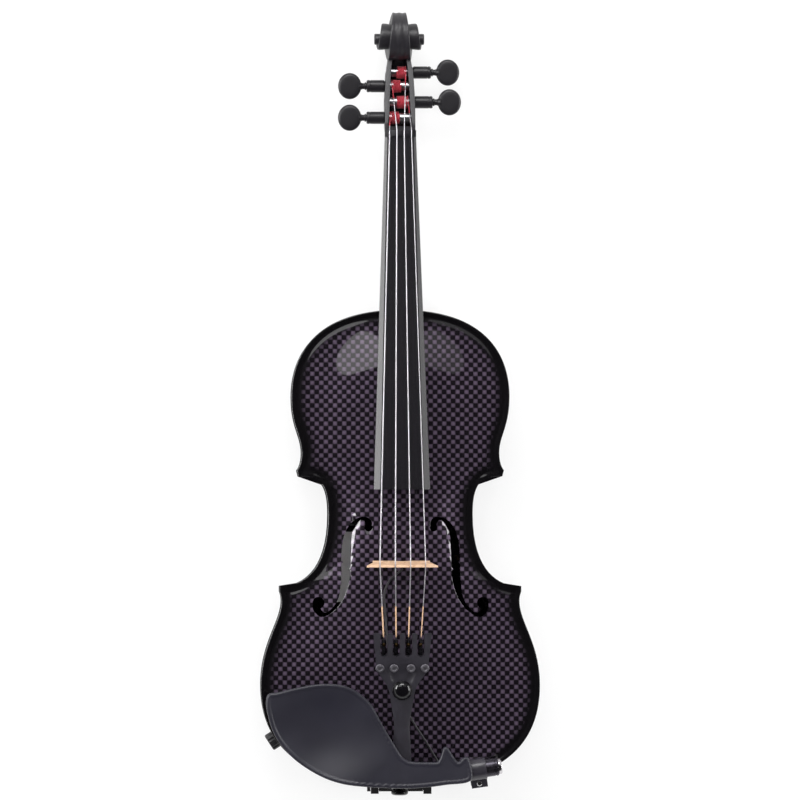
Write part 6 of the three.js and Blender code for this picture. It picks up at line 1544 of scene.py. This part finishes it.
smooth_outline = flowing(chin_outline, 6, closed=True)
chin_tree = KDTree(len(smooth_outline))
for i, p in enumerate(smooth_outline):
    chin_tree.insert((p.x, p.y, 0), i)
chin_tree.balance()
bm = slab([(p.x, p.y, 0) for p in smooth_outline], (0, 0, chin_wall))
chinrest = add_piece("chinrest_cup_and_bar", bm, waxed_composite)
milled = chinrest.modifiers.new("milled", "REMESH")
milled.mode = "VOXEL"
milled.voxel_size = chin_voxel * MM
bake(chinrest)
bm = bmesh.new()
bm.from_mesh(chinrest.data)
bmesh.ops.scale(bm, vec=(1 / MM, 1 / MM, 1 / MM), verts=bm.verts)
for _ in range(chin_smoothings):
    bmesh.ops.smooth_vert(bm, verts=bm.verts, factor=0.5, use_axis_x=True, use_axis_y=True, use_axis_z=True)
for vert in bm.verts:
    inwards = chin_tree.find((vert.co.x, vert.co.y, 0))[2]
    t = min(max(inwards / roll_width, 0), 1)
    roll = 1 - (1 - t) ** 2
    up = vert.co.z / chin_wall - 0.5
    lip = -lip_height * ease((inwards - lip_width) / lip_fall)
    vert.co.z = chin_roof(vert.co.x, vert.co.y) - chin_wall / 2 + chin_wall * up * (0.6 + 0.4 * roll) + lip
bmesh.ops.scale(bm, vec=(MM, MM, MM), verts=bm.verts)
bm.to_mesh(chinrest.data)
bm.free()
crease_edges(chinrest, 60)
clamp_spacing = 39.4
foot_half, foot_round = (6.4, 5.0), 2
tab_slot, tab_slot_rise = (6.6, 18, 2.8), 4.9
foot_y = body_bottom + 2.4 + foot_half[1]
chin_seat = top_edge + 3
feet = []
for side in (-1, 1):
    x = side * clamp_spacing / 2
    roof = min(chin_roof(x, foot_y), chin_bar) - chin_wall / 2
    bm = block((2 * foot_half[0], 2 * foot_half[1], roof - chin_seat))
    uprights = [e for e in bm.edges if abs(e.verts[0].co.z - e.verts[1].co.z) > 1]
    round_edges(bm, uprights, foot_round, 5)
    bmesh.ops.translate(bm, vec=(x, foot_y, (roof + chin_seat) / 2), verts=bm.verts)
    foot = add_piece("chinrest_foot_" + ("bass" if side < 0 else "treble"), bm, waxed_composite)
    tab_slot_tool = block(tab_slot, (x, body_bottom + 0.3, chin_seat + tab_slot_rise))
    cut(foot, [add_piece("tab_slot_tool", tab_slot_tool, waxed_composite)])
    feet.append(foot)
for piece in (chinrest, *feet):
    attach(piece, "body")
    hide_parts("chinrest")


# Corks: two pads of sheet cork, glued under the chinrest's feet and pressed on the edge of the top plate by
# the clamp, so that it doesn't mark the lacquer.

# Sheet cork, pressed and sliced: tan granules of 1.1 mm with dark pits of 0.7 mm
tree, shader, spot, sheet_cork = new_material("sheet_cork_pressed", Roughness=0.85)
granules = add_node(tree, "TexVoronoi", {"Vector": spot, "Scale": 0.9 / MM})
shade = add_node(tree, "Mix", {0: granules.outputs["Color"], 6: linear("#8d6138"), 7: linear("#c0935f")},
                 data_type="RGBA")
pits = add_node(tree, "TexNoise", {"Vector": spot, "Scale": 1.4 / MM, "Detail": 2.0})
pit_mark = add_node(tree, "MapRange", {"Value": pits, "From Min": 0.6, "From Max": 0.68})
tone = add_node(tree, "Mix", {0: pit_mark, 6: shade.outputs[2], 7: linear("#4a2f1b")}, data_type="RGBA")
tree.links.new(tone.outputs[2], shader.inputs["Base Color"])
rough = add_node(tree, "Bump", {
    "Height": granules.outputs["Distance"], "Distance": 0.2 * MM, "Strength": 0.5,
})
tree.links.new(rough.outputs[0], shader.inputs["Normal"])

for side in ("bass", "treble"):
    cork = add_piece(f"cork_pad_{side}", node_shape(f"chinrest_cork_{side}"), sheet_cork)
    soften(cork, 0.25, 2)
    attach(cork, "body")
    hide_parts(f"chinrest_cork_{side}")


# Chinrest clamp: two long barrel nuts of nickel-plated steel draw the chinrest's posts and the foot under
# the back together. A wire key turns each by the two holes across it.
barrel_radius, barrel_low, barrel_high = 2.3, 21.0, 44.0
clamp_y = body_bottom - 4
post_radius = 1.6
key_hole_radius, key_hole_shares = 0.8, (0.36, 0.64)

# Steel, bright nickel plated: pale mirror metal with faint handling marks of 3 mm
tree, shader, spot, nickel = new_material("steel_nickel_plated", Metallic=1.0, Roughness=0.16)
marks = add_node(tree, "TexNoise", {"Vector": spot, "Scale": 0.3 / MM, "Detail": 4.0})
tone = add_node(tree, "Mix", {0: marks, 6: linear("#c3c0c4"), 7: linear("#e6e3e6")}, data_type="RGBA")
tree.links.new(tone.outputs[2], shader.inputs["Base Color"])
smear = add_node(tree, "MapRange", {"Value": marks, "To Min": 0.1, "To Max": 0.24})
tree.links.new(smear.outputs[0], shader.inputs["Roughness"])

for sign, side in ((-1, "bass"), (1, "treble")):
    x = sign * clamp_spacing / 2
    bore, narrowed = post_radius + 0.2, barrel_radius * 0.85
    bm = turned([
        (bore, barrel_low), (narrowed, barrel_low), (barrel_radius, barrel_low + 0.6),
        (barrel_radius, barrel_high - 0.6), (narrowed, barrel_high), (bore, barrel_high), (bore, barrel_low),
    ], (x, clamp_y, 0), (0, 0, 1), 40)
    barrel = add_piece(f"clamp_nut_{side}", bm, nickel)
    tools = []
    for share in key_hole_shares:
        z = barrel_low + (barrel_high - barrel_low) * share
        key_hole = rod((x, clamp_y - 4, z), (x, clamp_y + 4, z), key_hole_radius, 20)
        tools.append(add_piece("key_hole_tool", key_hole, nickel))
    cut(barrel, tools)
    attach(barrel, f"barrel_{side}")
    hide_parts(f"clamp_barrel_{side}")
    post = add_piece(f"clamp_tab_{side}", node_shape(f"clamp_post_{side}"), nickel)
    soften(post, 0.2, 2)
    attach(post, "body")
    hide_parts(f"clamp_post_{side}")
for name, node in (("clamp_back_foot", "clamp_foot"), ("jack_back_foot", "jack_foot")):
    plate = add_piece(name, node_shape(node), nickel)
    soften(plate, 0.3, 2)
    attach(plate, "body")
    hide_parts(node)


# Output jack: a barrel turned from steel and black-chromed, beside the tail on the treble side. A bright nut
# is screwed round its mouth, where the plug goes in.
jack_middle = Vector((63.6, -273.6, 57.445))
jack_angle = math.radians(8)
jack_along = Vector((math.cos(jack_angle), math.sin(jack_angle), 0))
jack_across = Vector((math.sin(jack_angle), -math.cos(jack_angle), 0))
jack_radius, jack_bore = 6.8, 3.5

bm = turned([
    (0, -18), (jack_bore, -18), (jack_bore, 9), (jack_radius - 0.6, 9), (jack_radius - 0.15, 8.85),
    (jack_radius, 8.4), (jack_radius, 7.2), (jack_radius - 0.3, 7), (jack_radius - 0.3, 6.5),
    (jack_radius, 6.3), (jack_radius, -20.4), (jack_radius - 0.5, -21.2), (jack_radius - 1.8, -22),
    (1.6, -22), (0, -21.7),
], jack_middle, jack_along, 72)
jack = add_piece("jack_body", bm, black_chrome)
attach(jack, "body")
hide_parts("jack_barrel")
bm = turned([
    (jack_bore, 9.1), (5.5, 9.1), (5.9, 9.4), (5.9, 11.1), (5.7, 11.4), (5.1, 11.7), (4.1, 11.7),
    (jack_bore, 11.4), (jack_bore, 9.1),
], jack_middle, jack_along, 64)
mouth = add_piece("jack_mouth_nut", bm, nickel)
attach(mouth, "body")
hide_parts("jack_nut")


# Band: a strip of steel bent round the barrel and stoved black. Its flange is screwed to the post that comes
# up from the foot under the back.

# Steel, stoved satin black: dark grey with a soft broad shine and a dusty grain of 0.8 mm
tree, shader, spot, satin_paint = new_material(
    "steel_stoved_satin_black", Roughness=0.32, Specular_IOR_Level=0.6)
dust = add_node(tree, "TexNoise", {"Vector": spot, "Scale": 1.2 / MM, "Detail": 2.0})
tone = add_node(tree, "Mix", {0: dust, 6: linear("#222026"), 7: linear("#34313a")}, data_type="RGBA")
tree.links.new(tone.outputs[2], shader.inputs["Base Color"])

band_inner, band_wall, band_width, band_offset, flange_reach = 7.1, 1.0, 12.2, -6.2, 6.0
strap_hole_radius = 1.9
band_outer = band_inner + band_wall
bend = [math.pi * 1.5 * i / 42 for i in range(43)]
outer = [(band_outer * math.cos(a), band_outer * math.sin(a)) for a in reversed(bend)]
inner = [(band_inner * math.cos(a), band_inner * math.sin(a)) for a in bend]
flange = [(band_outer, 1 - band_inner), (band_outer + flange_reach, 1 - band_inner),
          (band_outer + flange_reach, -band_inner), (band_inner, -band_inner)]
start = jack_middle + jack_along * (band_offset - band_width / 2)
corners = [start + jack_across * across + Vector((0, 0, up)) for across, up in outer + flange + inner]
band = add_piece("jack_strap", slab(corners, jack_along * band_width), satin_paint)
hole = jack_middle + jack_along * band_offset + jack_across * (band_outer + flange_reach / 2)
drill = rod(hole - Vector((0, 0, 14)), hole, strap_hole_radius, 24)
cut(band, [add_piece("strap_hole_tool", drill, satin_paint)])
soften(band, 0.2, 2)
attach(band, "body")
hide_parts("jack_band")


# Volume control: a fluted knob on the lower bass rib, moulded in nylon and pushed on the shaft of the
# potentiometer behind it.
knob_place = Vector((-90.6, -250.6, 30.0))
knob_out = Vector((-0.83662, -0.54779, 0))
knob_radius, knob_length, knob_bore, knob_flutes, flute_cut = 6.6, 7.4, 3.2, 12, 0.7
knob_foot = 0.2 * edge_overhang + 1.2
knob_end = knob_foot + knob_length
bm = turned([
    (knob_bore, knob_foot + knob_length * 0.7), (knob_bore, knob_foot), (knob_radius - 0.3, knob_foot),
    (knob_radius, knob_foot + 0.3), (knob_radius, knob_end - 1), (knob_radius - 0.3, knob_end - 0.4),
    (knob_radius - 1.2, knob_end - 0.05), (knob_radius - 2, knob_end - 0.3), (0, knob_end - 0.35),
], (0, 0, 0), (0, 0, 1), 8 * knob_flutes)
bottom = [e for e in bm.edges if e.is_boundary]
bmesh.ops.contextual_create(bm, geom=bottom)
for vert in bm.verts:
    flat = math.hypot(vert.co.x, vert.co.y)
    if flat > knob_radius - 1:
        wave = flute_cut * (0.5 - 0.5 * math.cos(math.atan2(vert.co.y, vert.co.x) * knob_flutes)) ** 1.5
        vert.co.x *= (flat - wave) / flat
        vert.co.y *= (flat - wave) / flat
stand(bm, knob_place, knob_out)
knob = add_piece("volume_knob_fluted", bm, nylon, crease=40)
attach(knob, "knob")
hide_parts("volume_knob")


# Inside the body: the blocks, the bass bar, the sound post, the label and the potentiometer keep their
# plain forms, because little of them can be seen through the sound holes.

# Spruce, split and planed: pale with straight summer-growth lines 1 mm apart
tree, shader, spot, spruce = new_material("spruce_split_planed", Roughness=0.65)
year_place = add_node(tree, "Mapping", {"Vector": spot, "Scale": (1 / MM, 0.008 / MM, 1 / MM)})
years = add_node(tree, "TexNoise", {"Vector": year_place, "Scale": 1.0, "Detail": 2.0})
tone = add_node(tree, "Mix", {0: years, 6: linear("#c39a63"), 7: linear("#e6c999")}, data_type="RGBA")
tree.links.new(tone.outputs[2], shader.inputs["Base Color"])

# Laid paper, unprinted: off-white with a faint mottle of soft fibres, 1.4 mm
tree, shader, spot, laid_paper = new_material("laid_paper_unprinted", Roughness=0.9)
fibre = add_node(tree, "TexNoise", {"Vector": spot, "Scale": 0.7 / MM, "Detail": 4.0})
tone = add_node(tree, "Mix", {0: fibre, 6: linear("#eae6e8"), 7: linear("#f8f5f6")}, data_type="RGBA")
tree.links.new(tone.outputs[2], shader.inputs["Base Color"])

for node, material in (
    ("neck_block", moulded_composite), ("end_block", moulded_composite), ("bass_bar", spruce),
    ("sound_post", spruce), ("inside_label", laid_paper), ("potentiometer", nickel),
):
    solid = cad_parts[node]
    solid.data.materials.clear()
    solid.data.materials.append(material)
